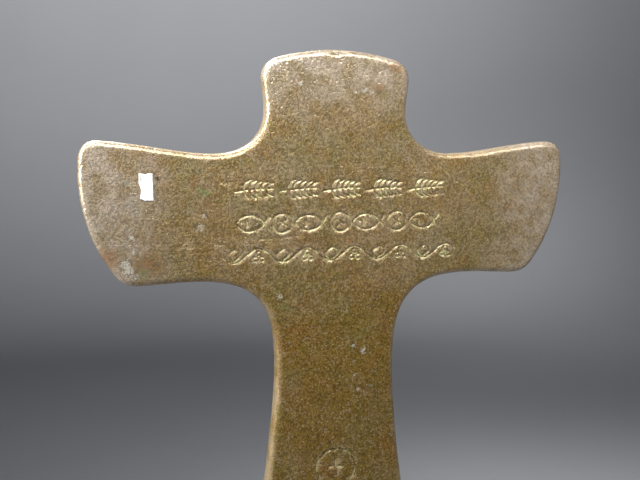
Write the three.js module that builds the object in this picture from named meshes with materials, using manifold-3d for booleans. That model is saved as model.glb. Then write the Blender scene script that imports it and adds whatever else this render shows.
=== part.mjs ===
// A small standing altar cross in cast bronze, made for a first communion.
// A flared Latin cross is cast as one plate with a swelling foot. It stands on a separate cast
// plinth, located by two dowels and drawn down by a threaded stud, washers and a nut from below.
// A felt sole closes the underside. The front carries small castings, each with blind pins.
// Millimetres. +Z is up, -Y is the front with the castings, +Y is the engraved back.
// The origin is the middle of the felt sole's underside.

import * as THREE from "three";
import { mergeVertices } from "three/addons/utils/BufferGeometryUtils.js";
import Module from "manifold-3d";

const wasm = await Module();
wasm.setup();

// ---- driving dimensions -------------------------------------------------------------------

const FIT_GAP = 0.2; // between parts that rest on each other
const PIN_GAP = 0.3; // round a pin in its hole

const HALF_SPAN = 56; // middle of the cross to the end of an arm
const CROSS_HEIGHT = 150; // foot to crown
const PLATE = 5.5; // thickness of the plate
const EDGE_ROUND = 1.5;
const FOOT_HALF_WIDTH = 25;
const FOOT_DEPTH = 16;
const SWELL_HEIGHT = 26; // how far above the foot the plate begins to thicken
const SWELL_POWER = 1.6;

const BASE_HALF_WIDTH = 40;
const BASE_HALF_DEPTH = 25;
const BASE_HEIGHT = 15;
const BASE_SIDE = 5; // height of the upright side under the rounded shoulder
const SHOULDER = 9; // how far the shoulder comes in
const BASE_CHAMFER = 0.8; // round the underside
const BASE_SQUARENESS = 4; // exponent of the plan outline, 2 is an ellipse
const FOOT_SQUARENESS = 3.2;

const FELT_THICKNESS = 1.5;
const FELT_PROUD = 0.8; // how far the felt stands below the plinth
const FELT_MARGIN = 3; // plinth edge to the felt recess
const RECESS_TOP = FELT_THICKNESS + FIT_GAP;

const BASE_BOTTOM = FELT_PROUD;
const BASE_TOP = BASE_BOTTOM + BASE_HEIGHT;
const FOOT_Z = BASE_TOP + FIT_GAP;
const CROWN_Z = FOOT_Z + CROSS_HEIGHT;

const STUD_RADIUS = 2.5;
const STUD_CLEAR = 0.3; // between the felt and the end of the stud
const STUD_IN_FOOT = 9;
const STUD_CHAMFER = 0.5;
const COUNTERBORE_RADIUS = 7;
const COUNTERBORE_TOP = 9;
const WASHER_THICKNESS = 1;
const WASHER_RADIUS = 5;
const SPRING_THICKNESS = 1.2;
const SPRING_RADIUS = 4.6;
const SPRING_SPLIT = 1;
const NUT_HEIGHT = 4;
const NUT_CHAMFER = 0.5;
const NUT_CORNER_CUT = 0.75; // how far the chamfer comes in from a corner
const NUT_ACROSS_FLATS = 8;

const DOWEL_RADIUS = 1.5;
const DOWEL_LENGTH = 15;
const DOWEL_CHAMFER = 0.4;
const DOWEL_X = 15;

const RELIEF_Y = -PLATE / 2 - FIT_GAP; // the back of every casting on the front
const PEG_RADIUS = 0.8;
const PEG_LENGTH = 1.8;
const PEG_ROOT = 0.4; // how deep a pin begins inside its casting

const HOST = { below: 29.5, radius: 9.5, thickness: 1.6, rim: 1.1, sunk: 0.4 };
const CHALICE = { rimBelow: 42.5, height: 36, flatness: 0.32 };
const FISH = { length: 25, height: 8.4, rise: 2.2, upperBelow: 91, lowerBelow: 103 };
const TAIL = { rise: 1.2, root: 0.9, notch: 1.8, overlap: 2, spread: 0.42 }; // spread is a share of the height
const LOAF = { below: 119, radius: 7.5, rise: 2.6, cut: 0.9 };
const GRAIN = { half: 1.3, halfLength: 2.7, rise: 1.4, step: 3, lean: 24 };
const GRAPE_RADIUS = 1.95;
const GRAPE_SPACING = 2.9;
const GRAPE_ROW = 0.87; // a row's height as a share of the spacing
const WHEAT_STALK_RADIUS = 0.75;
const BRANCH_RADIUS = 0.85;
const GRAPE_STALK_RADIUS = 0.8;
const LEAF = { rise: 1.3, edge: 0.3, lobes: 5, points: 30 };
const LABEL = { x: 42.2, below: 29.9, thickness: 0.12 };

// How finely round forms are drawn, in sides.
const PLINTH_SIDES = 64;
const SWELL_SIDES = 48;
const DISC_SIDES = 48;
const ROUND_SIDES = 32;
const BORE_SIDES = 24;
const SMALL_BORE_SIDES = 16;

// ---- colours ------------------------------------------------------------------------------

const BRONZE = { color: 0x7a6643, roughness: 0.5, metalness: 0.9 };
const RELIEF_BRONZE = { color: 0x8a7048, roughness: 0.42, metalness: 0.9 };
const STEEL = { color: 0xa9aaab, roughness: 0.35, metalness: 1 };
const FELT = { color: 0x2e3b2c, roughness: 1, metalness: 0 };
const PAPER = { color: 0xf2f1ee, roughness: 0.8, metalness: 0 };

// ---- solids -------------------------------------------------------------------------------

/** A closed geometry as a solid that can be cut and joined. */
function solid(geometry) {
  const bare = geometry.clone();
  bare.deleteAttribute("normal");
  bare.deleteAttribute("uv");
  const merged = mergeVertices(bare, 1e-4);
  const vertProperties = merged.attributes.position.array;
  const triVerts = new Uint32Array(merged.index.array);
  return new wasm.Manifold(new wasm.Mesh({ numProp: 3, vertProperties, triVerts }));
}

/** A solid back as a geometry with flat-shaded normals. */
function geometryOf(body) {
  const mesh = body.getMesh();
  const geometry = new THREE.BufferGeometry();
  geometry.setAttribute("position", new THREE.BufferAttribute(mesh.vertProperties, 3));
  geometry.setIndex(new THREE.BufferAttribute(mesh.triVerts, 1));
  geometry.computeVertexNormals();
  return geometry;
}

/** Several solids as one. */
function joined(bodies) {
  return bodies.reduce((all, body) => all.add(body));
}

/** A box from its middle and its three sizes. */
function box(x, y, z, width, depth, height) {
  return solid(new THREE.BoxGeometry(width, depth, height).translate(x, y, z));
}

/** An upright cylinder from its lower to its upper end. */
function post(x, y, low, high, radius, sides = ROUND_SIDES) {
  const geometry = new THREE.CylinderGeometry(radius, radius, high - low, sides);
  return solid(geometry.rotateX(Math.PI / 2).translate(x, y, (low + high) / 2));
}

/** A cylinder along Y. */
function peg(x, z, nearY, farY, radius, sides = 12) {
  const geometry = new THREE.CylinderGeometry(radius, radius, Math.abs(farY - nearY), sides);
  return solid(geometry.translate(x, (nearY + farY) / 2, z));
}

/** A profile of (radius, height) points turned round an upright axis through x, y. */
function turned(points, x, y, sides = ROUND_SIDES) {
  const geometry = new THREE.LatheGeometry(points.map(([r, z]) => new THREE.Vector2(r, z)), sides);
  return solid(geometry.rotateX(Math.PI / 2).translate(x, y, 0));
}

/** A flat outline in X and Z, thickened along Y from backY towards the front. */
function slab(shape, backY, thickness, edge = 0, curveSegments = 6) {
  const geometry = new THREE.ExtrudeGeometry(shape, {
    depth: thickness - 2 * edge,
    bevelEnabled: edge > 0,
    bevelThickness: edge,
    bevelSize: edge,
    bevelOffset: -edge,
    bevelSegments: 2,
    curveSegments,
  });
  return solid(geometry.translate(0, 0, edge).rotateX(Math.PI / 2).translate(0, backY, 0));
}

/** A round bar along a curve. */
function bar(points, radius, steps, sides = 8) {
  const section = new THREE.Shape().absarc(0, 0, radius, 0, 2 * Math.PI, false);
  const path = new THREE.CatmullRomCurve3(points.map(([x, z]) => new THREE.Vector3(x, RELIEF_Y, z)));
  const options = { steps, extrudePath: path, curveSegments: sides / 2, bevelEnabled: false };
  return solid(new THREE.ExtrudeGeometry(section, options));
}

/** One point of a superellipse, which is squarer the larger its exponent. */
function superPoint(angle, halfX, halfY, squareness) {
  const c = Math.cos(angle);
  const s = Math.sin(angle);
  return [
    halfX * Math.sign(c) * Math.abs(c) ** (2 / squareness),
    halfY * Math.sign(s) * Math.abs(s) ** (2 / squareness),
  ];
}

/** A closed body through level superellipse sections, each {z, halfX, halfY}, lowest first. */
function loft(sections, squareness, sides) {
  const positions = [];
  for (const { z, halfX, halfY } of sections)
    for (let i = 0; i < sides; i++)
      positions.push(...superPoint((2 * Math.PI * i) / sides, halfX, halfY, squareness), z);
  const bottom = positions.length / 3;
  positions.push(0, 0, sections[0].z, 0, 0, sections.at(-1).z);
  const index = [];
  sections.slice(1).forEach((_, ring) => {
    for (let i = 0; i < sides; i++) {
      const a = ring * sides + i;
      const b = ring * sides + ((i + 1) % sides);
      index.push(a, b, b + sides, a, b + sides, a + sides);
    }
  });
  const last = (sections.length - 1) * sides;
  for (let i = 0; i < sides; i++) {
    const next = (i + 1) % sides;
    index.push(bottom, next, i, bottom + 1, last + i, last + next);
  }
  const geometry = new THREE.BufferGeometry();
  geometry.setAttribute("position", new THREE.Float32BufferAttribute(positions, 3));
  geometry.setIndex(index);
  return solid(geometry);
}

/** Keeps what stands in front of the plate. */
function inFront(body) {
  const reach = 40;
  return body.intersect(box(0, RELIEF_Y - reach / 2, CROWN_Z / 2, 4 * HALF_SPAN, reach, 2 * CROWN_Z));
}

/** The two blind pins of a casting, from its back into the plate. */
function pegs(places) {
  return joined(places.map(([x, z]) => peg(x, z, RELIEF_Y - PEG_ROOT, RELIEF_Y + PEG_LENGTH, PEG_RADIUS)));
}

// ---- the cross ----------------------------------------------------------------------------

// The right half of the outline, as cubic curves from the crown to the foot. Each row is a
// stretch: two handles and an end, as distance from the middle and depth below the crown.
const STEM_END = [16.4, 99];
const FLARE = [[18.8, 116], [21, 134], [FOOT_HALF_WIDTH, CROSS_HEIGHT]];
const CROWN = [[5, 0.1], [9.5, 0.9], [13, 1.8]];
const CROWN_CORNER = [[15.6, 2.4], [16.8, 4.2], [16.8, 6.8]];
const NECK = [[16.8, 9], [16.1, 11], [16.2, 13.8]];
const UPPER_FILLET = [[16.3, 18.5], [20, 22.6], [26.5, 22.9]];
const ARM_TOP = [[34, 23.1], [44, 20.6], [51.5, 20.1]];
const ARM_TIP = [[54.2, 19.9], [55.9, 21.2], [HALF_SPAN, 24.5]];
const ARM_END = [[56.6, 33], [54.6, 41], [49.6, 48.2]];
const ARM_CORNER = [[48, 50.6], [46.6, 51.4], [44, 51.4]];
const ARM_UNDERSIDE = [[38, 51.4], [33, 50.4], [27.5, 51.2]];
const LOWER_FILLET = [[20.5, 52], [14.4, 55], [14, 68]];
const STEM = [[13.7, 76], [14.6, 86], STEM_END];
const STRETCHES = [
  CROWN,
  CROWN_CORNER,
  NECK,
  UPPER_FILLET,
  ARM_TOP,
  ARM_TIP,
  ARM_END,
  ARM_CORNER,
  ARM_UNDERSIDE,
  LOWER_FILLET,
  STEM,
  FLARE,
];

/** Height above the table of a point so far below the crown. */
function below(depth) {
  return CROWN_Z - depth;
}

/** The whole outline: down the right half, then up the left half with every curve reversed. */
function crossOutline() {
  const shape = new THREE.Shape().moveTo(0, below(0));
  for (const [[ax, az], [bx, bz], [x, z]] of STRETCHES)
    shape.bezierCurveTo(ax, below(az), bx, below(bz), x, below(z));
  shape.lineTo(-FOOT_HALF_WIDTH, below(CROSS_HEIGHT));
  for (let i = STRETCHES.length - 1; i >= 0; i--) {
    const [[ax, az], [bx, bz]] = STRETCHES[i];
    const [x, z] = i > 0 ? STRETCHES[i - 1][2] : [0, 0];
    shape.bezierCurveTo(-bx, below(bz), -ax, below(az), -x, below(z));
  }
  return shape;
}

/** The thickening of the stem down to its foot, inside the outline of the flare. */
function footSwell() {
  const edge = new THREE.CubicBezierCurve(
    new THREE.Vector2(...STEM_END),
    ...FLARE.map(([x, depth]) => new THREE.Vector2(x, depth)),
  );
  const levels = 8;
  const reach = SWELL_HEIGHT / (CROSS_HEIGHT - STEM_END[1]);
  const leastHalfY = PLATE / 2 - 0.3;
  const sections = [];
  for (let i = 0; i <= levels; i++) {
    const { x, y: depth } = edge.getPoint(1 - (reach * i) / levels);
    const share = 1 - i / levels;
    const halfY = leastHalfY + (FOOT_DEPTH / 2 - leastHalfY) * share ** SWELL_POWER;
    sections.push({ z: below(depth), halfX: x, halfY });
  }
  return loft(sections, FOOT_SQUARENESS, SWELL_SIDES);
}

/** The dowels' places across the foot. */
const DOWEL_PLACES = [-DOWEL_X, DOWEL_X];

function crossCasting() {
  const plate = slab(crossOutline(), PLATE / 2, PLATE, EDGE_ROUND, 7);
  const studHole = post(0, 0, FOOT_Z - 1, FOOT_Z + STUD_IN_FOOT + 1, STUD_RADIUS + PIN_GAP, BORE_SIDES);
  const dowelHoles = DOWEL_PLACES.map((x) =>
    post(x, 0, FOOT_Z - 1, FOOT_Z + DOWEL_LENGTH / 2 + 0.5, DOWEL_RADIUS + PIN_GAP, SMALL_BORE_SIDES),
  );
  const holeEnd = RELIEF_Y + PEG_LENGTH + PIN_GAP;
  const pegHoles = PEG_PLACES.map(([x, z]) => peg(x, z, RELIEF_Y - 1, holeEnd, PEG_RADIUS + PIN_GAP));
  return joined([plate, footSwell()]).subtract(joined([studHole, ...dowelHoles, ...pegHoles]));
}

// ---- the castings on the front ------------------------------------------------------------

/** The communion host: a flat disc with a raised rim. */
function host() {
  const front = RELIEF_Y - HOST.thickness;
  const disc = peg(0, below(HOST.below), RELIEF_Y, front, HOST.radius, DISC_SIDES);
  const dish = peg(0, below(HOST.below), front - 1, front + HOST.sunk, HOST.radius - HOST.rim, DISC_SIDES);
  return disc.subtract(dish).add(pegs(HOST_PEGS));
}

/** The chalice as half relief: a turned form, flattened and cut off at its back. */
function chalice() {
  const h = CHALICE.height;
  const profile = [
    [0, 0],
    [9.2, 0],
    [9.2, 0.03 * h],
    [6.6, 0.07 * h],
    [3.2, 0.14 * h],
    [1.9, 0.24 * h],
    [1.9, 0.33 * h],
    [3.5, 0.36 * h],
    [4.1, 0.4 * h],
    [3.5, 0.44 * h],
    [1.9, 0.47 * h],
    [2.2, 0.53 * h],
    [5.6, 0.58 * h],
    [8.2, 0.68 * h],
    [9.3, 0.82 * h],
    [9.9, h],
    [0, h],
  ];
  const points = profile.map(([r, z]) => new THREE.Vector2(r, z));
  const geometry = new THREE.LatheGeometry(points, 40).rotateX(Math.PI / 2);
  geometry.scale(1, CHALICE.flatness, 1);
  geometry.translate(0, RELIEF_Y, below(CHALICE.rimBelow + h));
  return inFront(solid(geometry)).add(pegs(CHALICE_PEGS));
}

/** A grain of wheat lying in the plane of the plate, pointing along an angle from +X. */
function grain(x, z, angle) {
  const geometry = new THREE.SphereGeometry(1, 8, 6).scale(GRAIN.half, GRAIN.rise, GRAIN.halfLength);
  geometry.rotateY(Math.PI / 2 - angle).translate(x, RELIEF_Y, z);
  return solid(geometry);
}

// Each stalk is its root, two bends and the foot of its ear, then the ear's angle and its pairs.
const STALKS = [
  { points: [[-9.8, 66], [-14.5, 55], [-23, 42], [-31, 34]], angle: 143, pairs: 5 },
  { points: [[-10, 66.5], [-15.5, 56], [-25, 46], [-33, 41.5]], angle: 160, pairs: 5 },
  { points: [[-10.3, 67], [-15.5, 58], [-23, 49.5], [-31, 46]], angle: 177, pairs: 4 },
];

/** One ear: pairs of grains leaning out from the stalk, and a last grain at its tip. */
function ear(x, z, degrees, pairs) {
  const angle = THREE.MathUtils.degToRad(degrees);
  const lean = THREE.MathUtils.degToRad(GRAIN.lean);
  const along = [Math.cos(angle), Math.sin(angle)];
  const across = [-along[1] * GRAIN.half, along[0] * GRAIN.half];
  const at = (steps, side) => [
    x + along[0] * steps * GRAIN.step + across[0] * side,
    z + along[1] * steps * GRAIN.step + across[1] * side,
  ];
  const grains = [grain(...at(pairs, 0), angle)];
  for (let i = 0; i < pairs; i++)
    for (const side of [-1, 1]) grains.push(grain(...at(i, side), angle + side * lean));
  return joined(grains);
}

function wheatSpray() {
  const bodies = STALKS.flatMap(({ points, angle, pairs }) => {
    const path = points.map(([x, depth]) => [x, below(depth)]);
    return [bar(path, WHEAT_STALK_RADIUS, 10), ear(...path.at(-1), angle, pairs)];
  });
  return inFront(joined(bodies)).add(pegs(WHEAT_PEGS));
}

/** A vine leaf with five lobes, drawn round its stalk end. */
function leaf(x, depth, size, degrees) {
  const points = [];
  for (let i = 0; i < LEAF.points; i++) {
    const turn = (2 * Math.PI * i) / LEAF.points;
    const lobe = 0.74 + 0.26 * Math.cos(LEAF.lobes * turn);
    const heart = 1 - 0.3 * Math.exp(-((turn - Math.PI) ** 2) / 0.12);
    const angle = turn + THREE.MathUtils.degToRad(degrees);
    const reach = size * lobe * heart;
    points.push(new THREE.Vector2(x + reach * Math.cos(angle), below(depth) + reach * Math.sin(angle)));
  }
  return slab(new THREE.Shape(points), RELIEF_Y, LEAF.rise, LEAF.edge);
}

const BRANCH = [[9.8, 66], [14.5, 55.5], [22, 44], [31, 33.5], [46, 29]];
const CLUSTER_ROWS = [3, 4, 4, 3, 2, 1];
const CLUSTER_TOP = { x: 38, depth: 34 };

/** A hanging bunch: rows of grapes, each row shorter than the last. */
function grapes() {
  const bodies = [];
  CLUSTER_ROWS.forEach((count, row) => {
    for (let i = 0; i < count; i++) {
      const x = CLUSTER_TOP.x + (i - (count - 1) / 2) * GRAPE_SPACING;
      const z = below(CLUSTER_TOP.depth + row * GRAPE_SPACING * GRAPE_ROW);
      bodies.push(solid(new THREE.SphereGeometry(GRAPE_RADIUS, 8, 6).translate(x, RELIEF_Y, z)));
    }
  });
  return joined(bodies);
}

function vineSpray() {
  const branch = bar(BRANCH.map(([x, depth]) => [x, below(depth)]), BRANCH_RADIUS, 14);
  const stalk = bar([[CLUSTER_TOP.x, below(CLUSTER_TOP.depth)], [37, below(31)]], GRAPE_STALK_RADIUS, 2);
  const leaves = [leaf(25.5, 34, 7.5, 100), leaf(46.5, 29.5, 6, 20)];
  return inFront(joined([branch, stalk, ...leaves, grapes()])).add(pegs(VINE_PEGS));
}

/** A fish: a domed body and a flat forked tail. Its head points to +X for facing 1, else to -X. */
function fish(depth, facing) {
  const z = below(depth);
  const bodyLength = 0.74 * FISH.length;
  const bodyX = facing * (FISH.length - bodyLength) / 2;
  const dome = new THREE.SphereGeometry(1, 24, 12).scale(bodyLength / 2, FISH.rise, FISH.height / 2);
  const root = bodyX - facing * (bodyLength / 2 - TAIL.overlap);
  const end = (-facing * FISH.length) / 2;
  const spread = TAIL.spread * FISH.height;
  const tail = new THREE.Shape([
    new THREE.Vector2(root, z + TAIL.root),
    new THREE.Vector2(end, z + spread),
    new THREE.Vector2(end + facing * TAIL.notch, z),
    new THREE.Vector2(end, z - spread),
    new THREE.Vector2(root, z - TAIL.root),
  ]);
  const body = solid(dome.translate(bodyX, RELIEF_Y, z));
  return inFront(body.add(slab(tail, RELIEF_Y, TAIL.rise))).add(pegs(fishPegs(depth)));
}

/** A round loaf with a cross cut in its crust. */
function loaf() {
  const z = below(LOAF.below);
  const geometry = new THREE.SphereGeometry(1, 32, 12).scale(LOAF.radius, LOAF.rise, LOAF.radius);
  const dome = inFront(solid(geometry.translate(0, RELIEF_Y, z)));
  const cutY = RELIEF_Y - LOAF.rise;
  const cuts = [
    box(0, cutY, z, LOAF.radius, 2 * LOAF.cut, LOAF.cut),
    box(0, cutY, z, LOAF.cut, 2 * LOAF.cut, LOAF.radius),
  ];
  return dome.subtract(joined(cuts)).add(pegs(LOAF_PEGS));
}

// Where the pins of each casting enter the plate.
const place = (x, depth) => [x, below(depth)];
const fishPegs = (depth) => [place(-5, depth), place(6, depth)];
const HOST_PEGS = [place(-5, HOST.below), place(5, HOST.below)];
const CHALICE_PEGS = [place(0, CHALICE.rimBelow + 6), place(0, CHALICE.rimBelow + CHALICE.height - 2.4)];
const WHEAT_PEGS = [place(-15, 55.4), place(-38, 39.6)];
const VINE_PEGS = [place(25.5, 36), place(38, 39)];
const LOAF_PEGS = [place(-4, LOAF.below), place(4, LOAF.below)];
const PEG_PLACES = [
  ...HOST_PEGS,
  ...CHALICE_PEGS,
  ...WHEAT_PEGS,
  ...VINE_PEGS,
  ...fishPegs(FISH.upperBelow),
  ...fishPegs(FISH.lowerBelow),
  ...LOAF_PEGS,
];

// ---- the plinth and what holds the cross down ---------------------------------------------

/** The plinth: upright sides under a quarter-round shoulder, with a recess for the felt. */
function plinth() {
  const sections = [
    { z: BASE_BOTTOM, inset: BASE_CHAMFER },
    { z: BASE_BOTTOM + BASE_CHAMFER, inset: 0 },
  ];
  const arcSteps = 7;
  for (let i = 0; i <= arcSteps; i++) {
    const turn = (Math.PI / 2) * (i / arcSteps);
    const z = BASE_BOTTOM + BASE_SIDE + (BASE_HEIGHT - BASE_SIDE) * Math.sin(turn);
    sections.push({ z, inset: SHOULDER * (1 - Math.cos(turn)) });
  }
  const body = loft(
    sections.map(({ z, inset }) => ({ z, halfX: BASE_HALF_WIDTH - inset, halfY: BASE_HALF_DEPTH - inset })),
    BASE_SQUARENESS,
    PLINTH_SIDES,
  );
  const recess = feltSheet(BASE_BOTTOM - 1, RECESS_TOP, FELT_MARGIN);
  const counterbore = post(0, 0, RECESS_TOP - 0.5, COUNTERBORE_TOP, COUNTERBORE_RADIUS);
  const studHole = post(0, 0, COUNTERBORE_TOP - 0.5, BASE_TOP + 1, STUD_RADIUS + PIN_GAP, BORE_SIDES);
  const dowelHoles = DOWEL_PLACES.map((x) =>
    post(x, 0, FOOT_Z - DOWEL_LENGTH / 2 - 0.5, BASE_TOP + 1, DOWEL_RADIUS + PIN_GAP, SMALL_BORE_SIDES),
  );
  return body.subtract(joined([recess, counterbore, studHole, ...dowelHoles]));
}

/** A flat sheet with the plinth's outline, drawn in by a margin. */
function feltSheet(low, high, margin) {
  const halfX = BASE_HALF_WIDTH - margin;
  const halfY = BASE_HALF_DEPTH - margin;
  return loft([{ z: low, halfX, halfY }, { z: high, halfX, halfY }], BASE_SQUARENESS, PLINTH_SIDES);
}

/** A plain round bar with both ends chamfered. */
function chamferedBar(x, low, high, radius, chamfer, sides) {
  const profile = [
    [0, low],
    [radius - chamfer, low],
    [radius, low + chamfer],
    [radius, high - chamfer],
    [radius - chamfer, high],
    [0, high],
  ];
  return turned(profile, x, 0, sides);
}

/** The stud. Its thread is left off: its plain bar has the thread's outer diameter. */
function stud() {
  return chamferedBar(0, RECESS_TOP + STUD_CLEAR, FOOT_Z + STUD_IN_FOOT, STUD_RADIUS, STUD_CHAMFER, BORE_SIDES);
}

/** A flat ring round the stud. */
function ring(low, high, radius, sides) {
  const hole = post(0, 0, low - 1, high + 1, STUD_RADIUS + PIN_GAP, sides);
  return post(0, 0, low, high, radius, sides).subtract(hole);
}

const WASHER_Z = COUNTERBORE_TOP - FIT_GAP - WASHER_THICKNESS;
const SPRING_Z = WASHER_Z - FIT_GAP - SPRING_THICKNESS;
const NUT_Z = SPRING_Z - FIT_GAP - NUT_HEIGHT;

function springWasher() {
  const body = ring(SPRING_Z, SPRING_Z + SPRING_THICKNESS, SPRING_RADIUS, ROUND_SIDES);
  const middle = SPRING_Z + SPRING_THICKNESS / 2;
  return body.subtract(box(SPRING_RADIUS, 0, middle, 2 * SPRING_RADIUS - 1, SPRING_SPLIT, 3));
}

/** A hexagon nut with its corners turned down. */
function nut() {
  const corner = NUT_ACROSS_FLATS / 2 / Math.cos(Math.PI / 6);
  const top = NUT_Z + NUT_HEIGHT;
  const beyond = corner + 0.1;
  const cone = [
    [0, NUT_Z],
    [corner - NUT_CORNER_CUT, NUT_Z],
    [beyond, NUT_Z + NUT_CHAMFER],
    [beyond, top - NUT_CHAMFER],
    [corner - NUT_CORNER_CUT, top],
    [0, top],
  ];
  const hexagon = post(0, 0, NUT_Z, top, corner, 6).intersect(turned(cone, 0, 0, 36));
  return hexagon.subtract(post(0, 0, NUT_Z - 1, top + 1, STUD_RADIUS + PIN_GAP, BORE_SIDES));
}

/** A dowel, half in the plinth and half in the foot. */
function dowel(x) {
  const reach = DOWEL_LENGTH / 2;
  return chamferedBar(x, FOOT_Z - reach, FOOT_Z + reach, DOWEL_RADIUS, DOWEL_CHAMFER, SMALL_BORE_SIDES);
}

/** What is left of a torn paper price label on the back. */
function labelScrap() {
  const corners = [
    [1.45, 3],
    [0.6, 2.75],
    [-1.4, 2.9],
    [-1.5, -2.9],
    [0.2, -3],
    [1.3, -2.4],
    [0.95, -0.6],
    [1.5, 0.8],
  ];
  const z = below(LABEL.below);
  const shape = new THREE.Shape(corners.map(([dx, dz]) => new THREE.Vector2(LABEL.x + dx, z + dz)));
  return slab(shape, PLATE / 2 + FIT_GAP + LABEL.thickness, LABEL.thickness);
}

// ---- the assembly -------------------------------------------------------------------------

const cross = new THREE.Group();

/** Adds one named part with its own material. */
function part(name, body, finish, parent = cross) {
  const mesh = new THREE.Mesh(geometryOf(body), new THREE.MeshStandardMaterial(finish));
  mesh.name = name;
  parent.add(mesh);
  return mesh;
}

part("cross_casting", crossCasting(), BRONZE);
part("host_disc", host(), RELIEF_BRONZE);
part("chalice_relief", chalice(), RELIEF_BRONZE);
part("wheat_relief", wheatSpray(), RELIEF_BRONZE);
part("vine_relief", vineSpray(), RELIEF_BRONZE);
part("fish_upper", fish(FISH.upperBelow, 1), RELIEF_BRONZE);
part("fish_lower", fish(FISH.lowerBelow, -1), RELIEF_BRONZE);
part("loaf_relief", loaf(), RELIEF_BRONZE);
part("price_label_scrap", labelScrap(), PAPER);

part("base_casting", plinth(), BRONZE);
part("threaded_stud", stud(), STEEL);
part("flat_washer", ring(WASHER_Z, WASHER_Z + WASHER_THICKNESS, WASHER_RADIUS, ROUND_SIDES), STEEL);
part("spring_washer", springWasher(), STEEL);
part("hex_nut", nut(), STEEL);
DOWEL_PLACES.forEach((x) => part(x < 0 ? "dowel_left" : "dowel_right", dowel(x), STEEL));
part("felt_sole", feltSheet(0, FELT_THICKNESS, FELT_MARGIN + FIT_GAP), FELT);

export default cross;
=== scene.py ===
"""A small standing altar cross in cast bronze, a first communion gift.

A flared cross is cast as one plate. Its back carries three rows of engraved ornament, its front
a set of small castings, and it stands on a rounded plinth with a felt sole. The classes hold
their sizes in millimetres; a mesh is brought to metres when its object is made.
"""

import logging
import math
import random
from contextlib import contextmanager
from dataclasses import dataclass, field
from enum import Enum
from functools import lru_cache
from typing import Callable, Iterable, Iterator, Optional, Sequence, Union

import bmesh
import bpy
import numpy as np
from mathutils import Matrix, Vector, noise
from mathutils.geometry import delaunay_2d_cdt
from mathutils.kdtree import KDTree


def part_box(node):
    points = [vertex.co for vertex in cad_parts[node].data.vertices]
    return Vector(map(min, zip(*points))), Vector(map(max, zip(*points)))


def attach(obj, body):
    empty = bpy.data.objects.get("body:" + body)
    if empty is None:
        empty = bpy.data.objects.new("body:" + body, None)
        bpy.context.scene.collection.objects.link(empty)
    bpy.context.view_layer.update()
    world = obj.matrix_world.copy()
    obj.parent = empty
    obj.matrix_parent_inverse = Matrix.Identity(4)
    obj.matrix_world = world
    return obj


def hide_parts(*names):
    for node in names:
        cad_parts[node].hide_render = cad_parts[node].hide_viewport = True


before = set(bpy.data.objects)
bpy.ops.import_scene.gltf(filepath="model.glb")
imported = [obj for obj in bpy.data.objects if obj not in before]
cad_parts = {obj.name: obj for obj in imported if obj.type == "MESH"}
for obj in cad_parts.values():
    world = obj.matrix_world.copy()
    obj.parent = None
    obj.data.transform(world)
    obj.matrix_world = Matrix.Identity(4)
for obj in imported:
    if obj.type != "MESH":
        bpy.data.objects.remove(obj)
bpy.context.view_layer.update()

LOG = logging.getLogger("altar_cross")
MM = 0.001
BODY = "root"

Array = np.ndarray
Faces = list[tuple[int, ...]]
Piece = bpy.types.Object
Socket = bpy.types.NodeSocket
Colour = tuple[float, float, float, float]


# ---- measures taken from the frame --------------------------------------------------------


def node_box(node: str) -> tuple[Array, Array]:
    """Reads where a part of the frame is.

    Args:
        node: The part's name.

    Returns:
        Its lowest and highest corner, in millimetres.
    """
    low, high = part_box(node)
    return np.array(low) / MM, np.array(high) / MM


FOOT = float(node_box("cross_casting")[0][2])
CROWN = float(node_box("cross_casting")[1][2])
PLATE_HALF = 2.75  # half the thickness of the cross's plate
CASTING_BACK = -PLATE_HALF + 0.3  # the back of the small castings, bedded just inside the plate


def height(depth: float) -> float:
    """Height above the table of a place so far below the crown."""
    return CROWN - depth


# ---- numbers ------------------------------------------------------------------------------


def lumps(points: Array, size: float, seed: float = 0.0) -> Array:
    """Smooth noise at each point.

    Args:
        points: One place a row, in millimetres.
        size: How far apart the bumps are, in millimetres.
        seed: Shifts the pattern.

    Returns:
        A value from -1 to 1 for each place.
    """
    rows = np.zeros((len(points), 3))
    rows[:, : points.shape[1]] = points / size
    rows += seed
    return np.array([noise.noise(Vector(row)) for row in rows])


def ease(value: Array, low: float, high: float) -> Array:
    """Runs smoothly from 0 at low to 1 at high."""
    share = np.clip((value - low) / (high - low), 0.0, 1.0)
    return share * share * (3.0 - 2.0 * share)


def smooth_max(first: Array, second: Array, blend: float) -> Array:
    """The larger of two heights, with the crease between them filled over a width of blend."""
    share = np.clip(0.5 + 0.5 * (first - second) / blend, 0.0, 1.0)
    return second + (first - second) * share + blend * share * (1.0 - share)


def spaced(path: Array, step: float) -> Array:
    """Places along an open path at an even distance.

    Args:
        path: The path's points, one a row.
        step: The wanted distance between places.

    Returns:
        The places, with both ends of the path kept.
    """
    legs = np.linalg.norm(np.diff(path, axis=0), axis=1)
    along = np.concatenate([[0.0], np.cumsum(legs)])
    count = max(2, int(round(along[-1] / step)) + 1)
    wanted = np.linspace(0.0, along[-1], count)
    return np.stack([np.interp(wanted, along, path[:, k]) for k in range(path.shape[1])], axis=1)


def flowing(points: Sequence[Sequence[float]], steps: int = 12) -> Array:
    """A smooth path through a few points.

    Args:
        points: The points, in order.
        steps: How many pieces each stretch is cut into.

    Returns:
        The path's points, one a row.
    """
    knots = np.array(points, float)
    knots = np.vstack([2 * knots[0] - knots[1], knots, 2 * knots[-1] - knots[-2]])
    rows = []
    for i in range(1, len(knots) - 2):
        before, start, end, after = knots[i - 1], knots[i], knots[i + 1], knots[i + 2]
        for t in np.arange(steps) / steps:
            straight = (end - before) * t
            bend = (2 * before - 5 * start + 4 * end - after) * t**2
            twist = (3 * start - before - 3 * end + after) * t**3
            rows.append(start + 0.5 * (straight + bend + twist))
    rows.append(knots[-2])
    return np.array(rows)


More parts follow.
